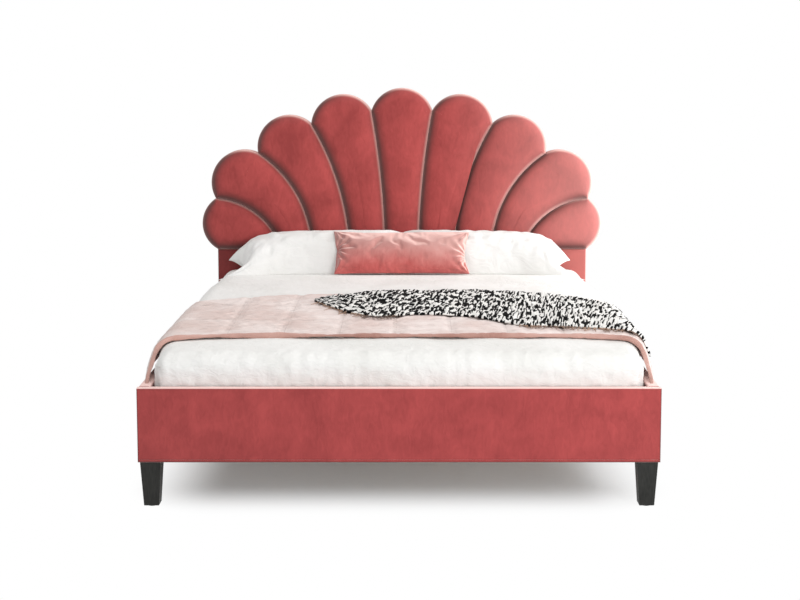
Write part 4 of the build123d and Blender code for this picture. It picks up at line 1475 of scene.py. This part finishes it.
@dataclass
class BedTop:
    """The rounded top that the bedding lies over: where it is level, turns down and falls."""

    edge_round: float = 58 * MM
    lean: float = math.radians(6)
    flare: float = 30 * MM
    spill: float = 14 * MM
    droop: float = 4 * MM
    low: Vector = field(init=False)
    high: Vector = field(init=False)
    side_start: float = field(init=False)

    def __post_init__(self) -> None:
        """Read the duvet's place from the frame."""
        self.low, self.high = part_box("duvet")
        self.side_start = self.high.x - self.edge_round

    def cloth(self, run: np.ndarray, y: np.ndarray, lift: np.ndarray) -> np.ndarray:
        """Return the points of cloth that lies over the bed and hangs down its sides.

        Args:
            run: Distances from the bed's middle, along the duvet's surface.
            y: Places along the bed.
            lift: How far the cloth stands off that surface.

        Returns:
            One point for each place.
        """
        past = np.maximum(np.abs(run) - self.side_start, 0)
        most = math.pi / 2 - self.lean
        angle = np.minimum(past / self.edge_round, most)
        fall = np.maximum(past - most * self.edge_round, 0)
        radius = self.edge_round + lift
        x = np.where(past > 0, self.side_start + radius * np.sin(angle), np.abs(run))
        x = np.sign(run) * (x + fall * math.sin(self.lean))
        z = self.high.z - self.edge_round + radius * np.cos(angle) - fall * math.cos(self.lean)
        return self.relaxed(np.stack([x, y, z], axis=1))

    def relaxed(self, points: np.ndarray, tucked: bool = False) -> np.ndarray:
        """Let cloth bulge out over the rails along the sides and sink at the front corners.

        Args:
            points: The cloth's points.
            tucked: Whether its lower edge goes down inside the rails.

        Returns:
            The moved points.
        """
        x, y, z = points.T
        far, front = np.abs(x), self.low.y
        start, end = (0.06, 0.36) if tucked else (0.03, 0.32)
        out = self.flare * ease(0.66, 0.80, far) * ease(front + start, front + end, y)
        out = out * (1 - 0.6 * ease(0.45, 0.80, y))
        if tucked:
            out = out * ease(0.400, 0.455, z)
        else:
            near = ease(front - 0.05, front + 0.10, y)
            out = out + self.spill * ease(0.475, 0.395, z) * ease(0.70, 0.80, far) * near
        corner = ease(0.64, 0.79, far) * ease(front + 0.24, front + 0.10, y)
        return np.stack([x + np.sign(x) * out, y, z - self.droop * corner * ease(0.40, 0.47, z)], axis=1)


@dataclass
class Duvet:
    """The white duvet, laid flat over the mattress and tucked down behind the rails."""

    palette: Palette
    bed: BedTop
    cell: float = 12 * MM
    thickness: float = 15 * MM

    def surface(self, u: np.ndarray, v: np.ndarray) -> np.ndarray:
        """Return the duvet's surface for two shares from 0 to 1.

        Args:
            u: Shares from 0 to 1 along the first direction.
            v: Shares from 0 to 1 along the second direction.

        Returns:
            One point for each pair of shares.
        """
        low, high, radius = self.bed.low, self.bed.high, self.bed.edge_round
        quarter = radius * math.pi / 2
        beyond = quarter + high.z - radius - low.z
        half_x, half_y = self.bed.side_start, (high.y - low.y) / 2 - radius
        s = (u - 0.5) * 2 * (half_x + beyond)
        t = (v - 0.5) * 2 * (half_y + beyond)
        over_x = np.maximum(np.abs(s) - half_x, 0)
        over_y = np.maximum(np.abs(t) - half_y, 0)
        over = np.maximum(over_x, over_y)
        share = np.minimum(over_x, over_y) / np.maximum(over, 1e-9)
        turn = np.where(over_x >= over_y, share, 2 - share) * math.pi / 4
        bend = np.minimum(over / radius, math.pi / 2)
        out = radius * np.sin(bend)
        drop = radius * (1 - np.cos(bend)) + np.maximum(over - quarter, 0)
        x = np.sign(s) * (np.minimum(np.abs(s), half_x) + out * np.cos(turn))
        y = np.sign(t) * (np.minimum(np.abs(t), half_y) + out * np.sin(turn))
        return np.stack([x, (low.y + high.y) / 2 + y, high.z - drop], axis=1)

    def build(self) -> None:
        """Model the duvet with its puffs and creases."""
        low, high = self.bed.low, self.bed.high
        spare = 0.2
        piece = sheet_grid("duvet_cover", round((high.x - low.x + spare) / self.cell),
                           round((high.y - low.y + spare) / self.cell), self.surface)
        points, normals = points_of(piece), points_of(piece, normals=True)
        x, y, z = points.T
        down = y - z
        puffs = WaveNoise(11, 0.34).at(x, down)
        creases = folds(WaveNoise(12, 0.085, stretch=1.8).at(x, down))
        fine = WaveNoise(13, 0.035).at(x, down)
        front = ease(low.y + 0.16, low.y, y)
        laden = ease(0.60, 0.72, y)
        hung = front * ease(high.z - 0.02, high.z - 0.09, z)
        loose = 1.2 * puffs + (0.5 + 1.6 * front) * creases - 1.5 + (0.7 * front + 1.3 * hung) * fine
        ridge = 8 * np.exp(-((y - 0.69) / 0.05) ** 2) * ease(0.80, 0.70, np.abs(x))
        lift = np.maximum(loose * (1 - laden) - 0.3 * laden + ridge, -3.5) * MM
        set_points(piece, self.bed.relaxed(points + normals * lift[:, None], tucked=True))
        apply_modifier(piece, "SOLIDIFY", thickness=self.thickness, offset=-1.0)
        complete(piece, self.palette.white, ["duvet"])


@dataclass
class StitchedQuilt:
    """The dusty pink quilt: sewn channels, hanging sides and a turned front edge.

    Its front and back lines give Y at distances from the bed's middle.
    """

    palette: Palette
    bed: BedTop
    reach: float = 0.889
    cell: float = 8 * MM
    thickness: float = 7 * MM
    gap: float = 1.2 * MM
    puff: float = 7 * MM
    roll: float = 7 * MM
    seam_reach: float = 15 * MM
    wrinkle_reach: float = 45 * MM
    first_seam: float = -0.791
    seam_pitch: float = 0.1945
    seam_rows: tuple[float, ...] = (-0.45, -0.13)
    front_line: Line = (
        (0.0, -0.744), (0.45, -0.744), (0.58, -0.748), (0.66, -0.754), (0.74, -0.782), (0.79, -0.816),
        (0.83, -0.862), (0.86, -0.925), (0.88, -0.978), (0.92, -1.02))
    back_line: Line = (
        (-0.92, -0.16), (-0.83, -0.09), (-0.75, -0.024), (-0.61, 0.065), (-0.40, 0.134), (0.0, 0.16),
        (0.40, 0.125), (0.75, 0.006), (0.83, -0.06), (0.92, -0.12))

    def edges(self, run: np.ndarray) -> tuple[np.ndarray, np.ndarray]:
        """Return where the quilt starts and ends along Y, at distances from the bed's middle."""
        return soft_line(np.abs(run), self.front_line), soft_line(run, self.back_line)

    def lift_of(self, run: np.ndarray, y: np.ndarray) -> np.ndarray:
        """Return how high the quilt's upper face stands off the duvet.

        Args:
            run: Distances from the bed's middle.
            y: Places along the bed.

        Returns:
            The height of each place.
        """
        share = (run - self.first_seam) / self.seam_pitch + 0.5
        away = np.abs(share - np.floor(share) - 0.5) * self.seam_pitch
        for place in self.seam_rows:
            away = np.minimum(away, np.abs(y - place))
        swell = 1 - np.exp(-(away / self.seam_reach) ** 1.2)
        wrinkle = folds(WaveNoise(21, 0.075, stretch=0.45).at(run, y))
        fine = WaveNoise(22, 0.04).at(run, y)
        near = np.exp(-(away / self.wrinkle_reach) ** 2)
        return self.puff * swell + (1.3 + 2.0 * near) * MM * wrinkle * 0.6 + 0.5 * MM * fine

    def surface(self, u: np.ndarray, v: np.ndarray) -> np.ndarray:
        """Return the quilt's upper surface for two shares from 0 to 1.

        Args:
            u: Shares from 0 to 1 along the first direction.
            v: Shares from 0 to 1 along the second direction.

        Returns:
            One point for each pair of shares.
        """
        run = (u - 0.5) * 2 * self.reach
        front, back = self.edges(run)
        y = front + (back - front) * v
        rim = ease(0, 0.02, v) * ease(1, 0.98, v)
        lift = self.gap + self.thickness + self.lift_of(run, y) * (0.35 + 0.65 * rim)
        return self.bed.cloth(run, y, lift)

    def make_binding(self) -> Piece:
        """Model the turned front edge, a flattened roll along the quilt's front line.

        Returns:
            The binding, dressed and fixed to the bed.
        """
        run = np.linspace(-self.reach, self.reach, 190)
        front, _ = self.edges(run)
        sag = WaveNoise(23, 0.30).at(run, front)
        pinch = folds(WaveNoise(24, 0.09).at(run, front))
        tall = self.roll + 1.6 * MM * sag + 1.0 * MM * pinch
        lines = [self.bed.cloth(run, front - 2 * MM - self.roll * math.cos(angle),
                                self.gap + 8 * MM + tall * math.sin(angle))
                 for angle in np.arange(10) * math.pi / 5]
        piece = ring_loft("quilt_binding", np.stack(lines, axis=1), (0, -1))
        complete(piece, self.palette.binding, degrees=60)
        return piece

    def build(self) -> None:
        """Model the quilt and its binding."""
        piece = sheet_grid("stitched_quilt", round(2 * self.reach / self.cell), round(1 / self.cell),
                           self.surface)
        apply_modifier(piece, "SOLIDIFY", thickness=self.thickness, offset=-1.0)
        self.make_binding()
        quilting = QuiltedCotton("dusty_pink_quilting", tone(242, 228, 223), tone(226, 204, 197),
                                 crease=0.6, crease_scale=30.0, half_width=self.reach,
                                 first_seam=self.first_seam, seam_pitch=self.seam_pitch,
                                 rows=self.seam_rows)
        complete(piece, quilting.build(), ["quilt"])


@dataclass
class KnittedThrow:
    """The marled throw: laid loosely over the quilt and down its right side, with a fringe.

    Its lower and upper lines give Y at distances from the bed's middle.
    """

    palette: Palette
    bed: BedTop
    quilt: StitchedQuilt
    start: float = -0.335
    end: float = 0.850
    cell: float = 5.5 * MM
    thickness: float = 5 * MM
    strand_radius: float = 2.3 * MM
    strand_pitch: float = 8 * MM
    strand_spans: Line = ((-0.335, -0.02), (0.42, 0.78))
    lower_line: Line = (
        (-0.34, -0.060), (-0.30, -0.15), (-0.25, -0.25), (-0.201, -0.33), (-0.097, -0.431), (-0.017, -0.405),
        (0.062, -0.376), (0.16, -0.39), (0.272, -0.433), (0.387, -0.563), (0.426, -0.612), (0.489, -0.618),
        (0.607, -0.635), (0.724, -0.681), (0.786, -0.702), (0.83, -0.722), (0.87, -0.742), (0.91, -0.76))
    upper_line: Line = (
        (-0.34, -0.045), (-0.259, 0.030), (-0.124, 0.167), (0.0, 0.235), (0.105, 0.279), (0.308, 0.298),
        (0.448, 0.217), (0.645, 0.074), (0.732, -0.085), (0.80, -0.13), (0.91, -0.19))

    def edges(self, run: np.ndarray) -> tuple[np.ndarray, np.ndarray]:
        """Return the throw's lower and upper edges along Y, at distances from the bed's middle."""
        return soft_line(run, self.lower_line), soft_line(run, self.upper_line)

    def under(self, run: np.ndarray, y: np.ndarray) -> np.ndarray:
        """Return how high the quilt stands under the throw, softened past the quilt's back edge.

        Args:
            run: Distances from the bed's middle.
            y: Places along the bed.

        Returns:
            The height of each place.
        """
        _, back = self.quilt.edges(run)
        full = self.quilt.gap + self.quilt.thickness + self.quilt.puff
        return full * (1 - ease(0.0, 0.09, y - back)) + 1 * MM

    def surface(self, u: np.ndarray, v: np.ndarray) -> np.ndarray:
        """Return the throw's upper surface for two shares from 0 to 1.

        Args:
            u: Shares from 0 to 1 along the first direction.
            v: Shares from 0 to 1 along the second direction.

        Returns:
            One point for each pair of shares.
        """
        run = self.start + (self.end - self.start) * u
        low, high = self.edges(run)
        y = low + (high - low) * v
        relief = WaveNoise(31, 0.022, waves=40, stretch=3.0).at(run + 0.28 * y, y)
        soft = folds(WaveNoise(32, 0.20, stretch=1.5).at(run, y))
        rim = ease(0, 0.03, v) * ease(1, 0.97, v)
        lift = self.under(run, y) + self.thickness + 2 * MM
        lift = lift + 1.5 * MM * relief * (0.4 + 0.6 * rim) + 2.5 * MM * (1 + soft) * rim
        return self.bed.cloth(run, y, lift)

    def make_fringe(self) -> Piece:
        """Model the fringe along the lower edge, each strand one bent thread.

        Returns:
            The fringe, dressed and fixed to the bed.
        """
        draw = np.random.default_rng(41)
        places = np.arange(self.start + 0.01, self.strand_spans[-1][1], self.strand_pitch)
        strands = [self.make_strand(float(run + draw.uniform(-3, 3) * MM), draw) for run in places
                   if any(low < run < high for low, high in self.strand_spans)]
        piece = join_all("throw_fringe", strands)
        complete(piece, self.palette.fringe)
        return piece

    def make_strand(self, run: float, draw: np.random.Generator) -> Piece:
        """Model one strand of the fringe, lying on the quilt in front of the throw's edge.

        Args:
            run: Where the strand starts, from the bed's middle.
            draw: The source of the strand's small differences.

        Returns:
            The strand.
        """
        length = draw.uniform(36, 66) * MM
        lean = draw.uniform(-0.5, 0.5)
        curl = draw.uniform(-10, 10) * MM
        low, _ = self.edges(np.array([run]))

        def tube(u: np.ndarray, v: np.ndarray) -> np.ndarray:
            """Return the strand's skin for two shares from 0 to 1."""
            angle = 2 * math.pi * v
            thick = self.strand_radius * (1 - 0.55 * u)
            side = run + lean * length * u + curl * np.sin(u * math.pi) + thick * np.cos(angle)
            y = low[0] + 4 * MM - length * u
            lift = self.under(side, y) + 1.5 * MM + self.strand_radius + thick * np.sin(angle)
            return self.bed.cloth(side, y, lift)

        piece = sheet_grid("strand", 6, 5, tube)
        mend(piece)
        return piece

    def build(self) -> None:
        """Model the throw and its fringe."""
        width = self.end - self.start
        low, high = self.edges(np.linspace(self.start, self.end, 200))
        length = float(np.max(high) - np.min(low))
        piece = sheet_grid("knitted_throw", round(width / self.cell), round(0.72 / self.cell), self.surface)
        apply_modifier(piece, "SOLIDIFY", thickness=self.thickness, offset=-1.0)
        self.make_fringe()
        complete(piece, MarlKnit("marled_knit", (width, length)).build(), ["throw"])


# Pillows and cushion


@dataclass
class StuffedCase:
    """A sewn case of two equal sheets, blown up by a cloth simulation into a pillow's form."""

    name: str
    width: float
    height: float
    thickness: float
    cell: float
    seed: int
    frames: int = 24
    pressure: float = 5.0
    side_pull: float = 0.05
    kept: tuple[float, float, float] = (0.5, 0.12, 1.0)

    def lens(self, u: np.ndarray, v: np.ndarray) -> np.ndarray:
        """Return the case's starting form for two shares from 0 to 1, both sheets in one wrap.

        Args:
            u: Shares from 0 to 1 along the first direction.
            v: Shares from 0 to 1 along the second direction.

        Returns:
            One point for each pair of shares.
        """
        upper = v * 2 <= 1
        b = np.where(upper, v * 2, 2 - v * 2) * 2 - 1
        a = u * 2 - 1
        swell = (1 - np.abs(a) ** 3.0) ** 0.62 * (1 - np.abs(b) ** 2.6) ** 0.62
        x = a * self.width / 2 * (1 - self.side_pull * (1 - b ** 2) * np.abs(a) ** 3)
        y = b * self.height / 2 * (1 - 0.02 * (1 - a ** 4))
        return np.stack([x, y, np.where(upper, 1.0, -1.0) * swell * self.thickness / 2], axis=1)

    def flat_lens(self, u: np.ndarray, v: np.ndarray) -> np.ndarray:
        """Return a nearly flat case, as it is cut and sewn.

        Args:
            u: Shares from 0 to 1 along the first direction.
            v: Shares from 0 to 1 along the second direction.

        Returns:
            One point for each pair of shares.
        """
        points = self.lens(u, v)
        ripple = WaveNoise(self.seed, 0.09).at(points[:, 0], points[:, 1])
        points[:, 2] = points[:, 2] * (0.30 + 0.04 * ripple)
        return points

    def make(self) -> Piece:
        """Return the case, blown up, about its own middle: its width along X, its thickness along Z.

        Returns:
            The case.
        """
        piece = sheet_grid(self.name, round(self.width / self.cell), 2 * round(self.height / self.cell),
                           self.flat_lens)
        mend(piece, 0.05 * MM)
        cut = points_of(piece)
        self.blow_up(piece)
        set_points(piece, cut + (points_of(piece) - cut) * self.kept)
        apply_modifier(piece, "SUBSURF", levels=1, render_levels=1)
        return piece

    def blow_up(self, piece: Piece) -> None:
        """Run a cloth simulation with pressure inside, and keep its result.

        Args:
            piece: The sewn, nearly flat case.
        """
        activate(piece)
        cloth = piece.modifiers.new("Cloth", "CLOTH")
        for name, value in {
                "quality": 6, "mass": 0.25, "tension_stiffness": 18, "compression_stiffness": 18,
                "shear_stiffness": 6, "bending_stiffness": 0.35, "tension_damping": 8,
                "compression_damping": 8, "shear_damping": 8, "air_damping": 6, "use_pressure": True,
                "uniform_pressure_force": self.pressure}.items():
            setattr(cloth.settings, name, value)
        cloth.settings.effector_weights.gravity = 0.0
        cloth.collision_settings.use_collision = False
        cloth.point_cache.frame_start, cloth.point_cache.frame_end = 1, self.frames
        scene = bpy.context.scene
        for frame in range(1, self.frames + 1):
            scene.frame_set(frame)
            bpy.context.view_layer.update()
        activate(piece)
        bpy.ops.object.modifier_apply(modifier=cloth.name)
        scene.frame_set(1)


def fit_case(piece: Piece) -> np.ndarray:
    """Return a case's points as shares of its half width, half height and half thickness.

    Args:
        piece: The case, about its own middle.

    Returns:
        The shares along its width, its height and its thickness, each mostly from -1 to 1.
    """
    points = points_of(piece)
    low, high = points.min(axis=0), points.max(axis=0)
    return ((points - (high + low) / 2) / ((high - low) / 2)).T


def crest_fit(out: np.ndarray, height: np.ndarray, wanted: Line) -> np.ndarray:
    """Work out how a form is stretched upwards to meet a silhouette.

    Args:
        out: Each point's place along the form, from 0 to 1.
        height: Each point's height above what the form lies on.
        wanted: The silhouette, as places from 0 to 1 with their heights.

    Returns:
        What each point's height is multiplied by.
    """
    bands = 60
    crest = np.zeros(bands)
    np.maximum.at(crest, np.clip((out * bands).astype(int), 0, bands - 1), height)
    middles = (np.arange(bands) + 0.5) / bands
    filled = np.interp(middles, middles[crest > 0], crest[crest > 0])
    soft = np.convolve(np.pad(filled, 2, mode="edge"), np.ones(5) / 5, mode="valid")
    return np.interp(out, *zip(*wanted)) / np.maximum(np.interp(out, middles, soft), 5 * MM)


def gathers(x: np.ndarray, y: np.ndarray, corner: tuple[float, float], reach: float, count: float,
            turn: float) -> np.ndarray:
    """Return the ridges, from -1 to 1, that fan out from where a case is sewn to a corner.

    Args:
        x: Each point's place along the case.
        y: Each point's place across the case.
        corner: The corner that the ridges start from.
        reach: How far they go before they fade.
        count: Ridges in a full turn.
        turn: The angle that they start at.

    Returns:
        The height of the ridges at each point.
    """
    away_x, away_y = x - corner[0], y - corner[1]
    far = np.hypot(away_x, away_y)
    waver = 0.5 * np.sin(far / reach * 5 + turn * 3)
    ridges = np.cos(np.arctan2(away_y, away_x) * count + turn + waver)
    return ridges * np.exp(-(far / reach) ** 2) * ease(0, 0.25 * reach, far)


@dataclass
class BedPillow:
    """A white pillow that lies against the headboard, its outer corners drawn out to ears."""

    palette: Palette
    side: Side
    trim: float = 0.0
    height: float = 0.30
    blend: float = 6 * MM
    ridge: float = 4 * MM
    front: float = 0.775
    ear_forward: float = 0.075
    ear_reach: float = 0.028
    ear_drop: float = 0.014
    crown: float = 0.105
    under: float = 0.115
    rear_rise: float = 0.125
    ear_rise: float = 0.055
    notch: float = 0.058
    notch_place: float = -0.62
    silhouette: Line = (
        (0.0, 0.174), (0.06, 0.185), (0.30, 0.190), (0.60, 0.187), (0.76, 0.178), (0.84, 0.164),
        (0.883, 0.150), (0.898, 0.140), (0.943, 0.110), (0.975, 0.082), (1.0, 0.058))

    def drawn_in(self, outward: np.ndarray, b: np.ndarray) -> np.ndarray:
        """Return how far the outer seam is drawn in towards the pillow's middle.

        Args:
            outward: Shares along the pillow, 1 at its outer end.
            b: Shares from its front seam, -1, to its rear one, 1.

        Returns:
            The distance at each point.
        """
        past = b - self.notch_place
        span = np.where(past < 0, 1 + self.notch_place, 1 - self.notch_place)
        hollow = self.notch * (1 - np.abs(past / span) ** np.where(past < 0, 2.0, 1.5))
        return (hollow * ease(0.55, 1.0, outward)
                - self.ear_reach * ease(-0.55, -1.0, b) * ease(0.75, 1.0, outward)
                + self.trim * ease(0.78, 1.0, outward) * ease(-0.6, 0.2, b))

    def build(self) -> None:
        """Model the pillow and lay it in its place."""
        node = f"pillow_{self.side.word}"
        low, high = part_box(node)
        wall, floor, width = high.y, low.z - 0.8 * MM, high.x - low.x
        piece = StuffedCase(f"{self.side.word}_pillow", width, height=0.36, thickness=0.20,
                            cell=9.5 * MM, seed=50 + self.side.value).make()
        a, b, c = fit_case(piece)
        outward, t = (a * self.side.value + 1) / 2, (b + 1) / 2
        inner = ease(0.12, 0.0, outward)
        x = (low.x + high.x) / 2 + a * width / 2 - self.side.value * self.drawn_in(outward, b)
        front_y = self.front - self.ear_forward * ease(0.45, 1.0, outward) ** 1.4 + 0.02 * inner
        chord = wall - 0.035 * ease(0.80, 1.0, outward) - 0.01 - front_y
        rise = self.rear_rise - (self.rear_rise - self.ear_rise) * ease(0.72, 1.0, outward)
        length = np.hypot(chord, rise)
        ridges = sum(weight * gathers(outward * width, t * self.height, corner, reach, count, turn)
                     for weight, corner, reach, count, turn in (
                         (1.0, (width, self.height), 0.16, 9.0, 0.4), (1.0, (width, 0.0), 0.13, 10.0, 1.3),
                         (0.7, (0.0, 0.02), 0.12, 10.0, 2.1)))
        thick = np.where(c > 0, self.crown, self.under) * c * (1 - 0.15 * inner)
        thick = thick + self.ridge * ridges * (c > 0)
        y = front_y + chord * t - rise / length * thick * 0.55
        z = soft_floor(rise * t + chord / length * thick, self.blend)
        z = floor + z * crest_fit(outward, z, self.silhouette)
        z = z - self.ear_drop * ease(-0.55, -1.0, b) * ease(0.85, 1.0, outward)
        set_points(piece, np.stack([x, wall - soft_floor(wall - y, self.blend), z], axis=1))
        complete(piece, self.palette.pillow, [node])


@dataclass
class LumbarCushion:
    """The small velvet cushion that leans on the pillows."""

    palette: Palette
    tilt: float = math.radians(30)
    tall: float = 0.206
    crown: float = 0.066
    back: float = 0.012
    spread: float = 0.030
    foot: float = 0.738

    def build(self) -> None:
        """Model the cushion and lean it on the pillows."""
        low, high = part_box("lumbar_cushion")
        half = (high.x - low.x) / 2
        piece = StuffedCase("velvet_cushion", width=0.60, height=0.235, thickness=0.13, cell=6.5 * MM,
                            seed=61, pressure=7.0, side_pull=0.015).make()
        a, b, c = fit_case(piece)
        up = (b + 1) / 2
        drawn = 1 - np.where(a > 0, 0.030, 0.012) * (1 - b ** 2) * np.abs(a) ** 3
        x = a * half * (1 + self.spread * (0.5 * up + 0.6) * np.abs(a) ** 4) * drawn
        ridges = sum(gathers(x, up * self.tall, (end * half, (edge + 1) / 2 * self.tall), 0.085, count, turn)
                     for end, edge, count, turn in ((-1, 1, 11, 0.3), (1, 1, 10, 1.1), (-1, -1, 9, 2.0),
                                                    (1, -1, 11, 0.7), (-1, 0.1, 12, 1.6), (1, -0.2, 12, 2.6)))
        puckers = folds(WaveNoise(62, 0.05, stretch=0.4).at(x, up)) * np.exp(-(up * self.tall / 0.03) ** 2)
        thick = np.where(c > 0, self.crown * c, self.back * c) + self.back
        thick = thick + (6.0 * ridges + 1.2 * puckers) * MM * (c > 0) * np.clip(3 * c, 0, 1)
        rise = up * self.tall + 2 * MM * np.sin(x * 14) * up
        y = self.foot + rise * math.sin(self.tilt) - thick * math.cos(self.tilt)
        z = soft_floor(rise * math.cos(self.tilt) + thick * math.sin(self.tilt) - 0.5 * MM, 4 * MM)
        set_points(piece, np.stack([x, y, low.z + z], axis=1))
        complete(piece, self.palette.cushion, ["lumbar_cushion"])


# Frame pieces that keep their own solids


@dataclass
class BareFrame:
    """The timber, steel and plastic pieces, which keep their solids and get their finishes."""

    palette: Palette
    frame: dict

    def build(self) -> None:
        """Dress every node that no modelled piece stands for."""
        palette = self.palette
        by_slot = {"board": palette.board, "pine": palette.pine, "beech": palette.beech,
                   "leg_paint": palette.lacquer, "black_plastic": palette.plastic,
                   "zinc_steel": palette.zinc, "black_steel": palette.coat, "foam": palette.foam}
        slots = {row["node"]: row["material_slot"] for row in self.frame["record"]["subparts"]}
        for name, node in self.frame["nodes"].items():
            material = by_slot.get(slots[name])
            if material is not None:
                dress(node, material)
                LOG.info("%s: dressed as %s", name, material.name)


# Studio


@dataclass
class Studio:
    """The pale floor, the soft lamps, the white surround and the camera."""

    ambient: float = 0.59
    bed_half: tuple[float, float, float] = (0.58, 0.80, 0.0)
    shadow_reach: float = 0.36
    # How much of the floor glows white even beside the bed: painted light that lightens the bed's shadow.
    shadow_lift: float = 0.10
    floor_size: float = 60.0
    lens: float = 65.85
    place: tuple[float, float, float] = (0.03153, -5.70617, 1.44132)
    pitch: float = 0.10755
    shift: tuple[float, float] = (-0.01099, -0.09875)

    def make_world(self) -> None:
        """Light evenly from all round, and show white to the camera and in reflections."""
        world = bpy.data.worlds.new("studio_surround")
        bpy.context.scene.world = world
        world.use_nodes = True
        tree = world.node_tree
        tree.nodes.clear()
        mixer = tree.nodes.new("ShaderNodeMixShader")
        tree.links.new(self.seen_rays(tree), mixer.inputs[0])
        for index, strength in ((1, self.ambient), (2, 1.0)):
            light = tree.nodes.new("ShaderNodeBackground")
            light.inputs["Color"].default_value = (1.0, 1.0, 1.0, 1.0)
            light.inputs["Strength"].default_value = strength
            tree.links.new(light.outputs[0], mixer.inputs[index])
        tree.links.new(mixer.outputs[0], tree.nodes.new("ShaderNodeOutputWorld").inputs["Surface"])

    @staticmethod
    def seen_rays(tree: bpy.types.NodeTree) -> Socket:
        """Return 1 for rays from the camera and for reflected and transmitted ones.

        Args:
            tree: The node tree of a material or world.

        Returns:
            The output that carries it.
        """
        path = tree.nodes.new("ShaderNodeLightPath")
        total = path.outputs["Is Camera Ray"]
        for name in ("Is Glossy Ray", "Is Transmission Ray"):
            either = tree.nodes.new("ShaderNodeMath")
            either.operation = "MAXIMUM"
            tree.links.new(total, either.inputs[0])
            tree.links.new(path.outputs[name], either.inputs[1])
            total = either.outputs[0]
        return total

    def make_floor(self) -> None:
        """Lay the floor: it takes the bed's shadow near the bed and is plain white further off."""
        activate()
        bpy.ops.mesh.primitive_plane_add(size=self.floor_size, location=(0, 0, 0))
        floor = bpy.context.active_object
        floor.name = "studio_floor"
        board = NodeBoard("pale_floor")
        place = board.place()
        far = place
        for operation, value in (("ABSOLUTE", None), ("SUBTRACT", self.bed_half), ("MAXIMUM", (0, 0, 0)),
                                 ("LENGTH", None)):
            step = board.add("VectorMath")
            step.operation = operation
            board.put(step.inputs[0], far)
            if value is not None:
                board.put(step.inputs[1], value)
            far = step.outputs["Value" if operation == "LENGTH" else "Vector"]
        # Painted light: even beside the bed, part of the floor that the camera sees glows white, lightening
        # the bed's shadow.
        fade = board.add("MapRange", Value=far, From_Max=self.shadow_reach, To_Min=self.shadow_lift)
        fade.interpolation_type = "SMOOTHSTEP"
        grain = board.noise(place, 40.0, 3.0)
        board.finish(board.ramp(grain, 0.3, (0.90, 0.93, 0.95), 0.7, (0.92, 0.95, 0.97)), Roughness=0.9,
                     Specular_IOR_Level=0.1)
        mixer = board.add("MixShader")
        for socket, value in zip(mixer.inputs, (
                board.math("MULTIPLY", fade.outputs["Result"], self.seen_rays(board.tree)),
                board.shader.outputs[0], board.add("Emission", Strength=1.0).outputs[0])):
            board.put(socket, value)
        board.put(board.tree.nodes["Material Output"].inputs["Surface"], mixer.outputs[0])
        dress(floor, board.material)

    @staticmethod
    def make_lamp(name: str, place: Sequence[float], aim: Sequence[float], size: float, power: float) -> None:
        """Hang one square soft lamp.

        Args:
            name: The lamp's name.
            place: Where it hangs.
            aim: The point that it faces.
            size: The length of its side.
            power: Its power in watts.
        """
        bpy.ops.object.light_add(type="AREA", location=place)
        lamp = bpy.context.active_object
        lamp.name = name
        lamp.data.shape = "SQUARE"
        lamp.data.size = size
        lamp.data.energy = power
        lamp.rotation_euler = (Vector(aim) - Vector(place)).to_track_quat("-Z", "Y").to_euler()

    def make_camera(self) -> None:
        """Stand the camera where the photograph was taken from."""
        bpy.ops.object.camera_add(location=self.place, rotation=(math.pi / 2 - self.pitch, 0, 0))
        camera = bpy.context.active_object
        camera.data.sensor_width = 36.0
        camera.data.lens = self.lens
        camera.data.shift_x, camera.data.shift_y = self.shift
        bpy.context.scene.camera = camera

    def build(self) -> None:
        """Set up the studio."""
        self.make_world()
        self.make_floor()
        self.make_lamp("key_lamp", (2.7, -0.1, 1.45), (0.2, 0.9, 0.75), 1.1, 17.0)
        self.make_lamp("grazing_lamp", (2.1, 0.66, 1.0), (-0.6, 0.95, 0.85), 0.7, 18.0)
        self.make_lamp("front_lamp", (2.4, -4.2, 1.0), (0.2, -0.8, 0.3), 2.2, 76.0)
        self.make_lamp("top_lamp", (0.1, -0.7, 3.6), (0.0, 0.0, 0.4), 2.6, 34.0)
        self.make_camera()
        bpy.context.scene.view_settings.view_transform = "Standard"


def main() -> None:
    """Build every piece of the bed in order, then the studio."""
    logging.basicConfig(level=logging.INFO, format="%(name)s %(message)s")
    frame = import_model()
    palette = Palette()
    bed = BedTop()
    quilt = StitchedQuilt(palette, bed)
    BareFrame(palette, frame).build()
    FanHeadboard(palette).build()
    PaddedRails(palette).build()
    Mattress(palette).build()
    Duvet(palette, bed).build()
    quilt.build()
    KnittedThrow(palette, bed, quilt).build()
    for side in Side:
        BedPillow(palette, side, trim=0.022 if side is Side.RIGHT else 0.0).build()
    LumbarCushion(palette).build()
    Studio().build()


if __name__ == "__main__":
    main()
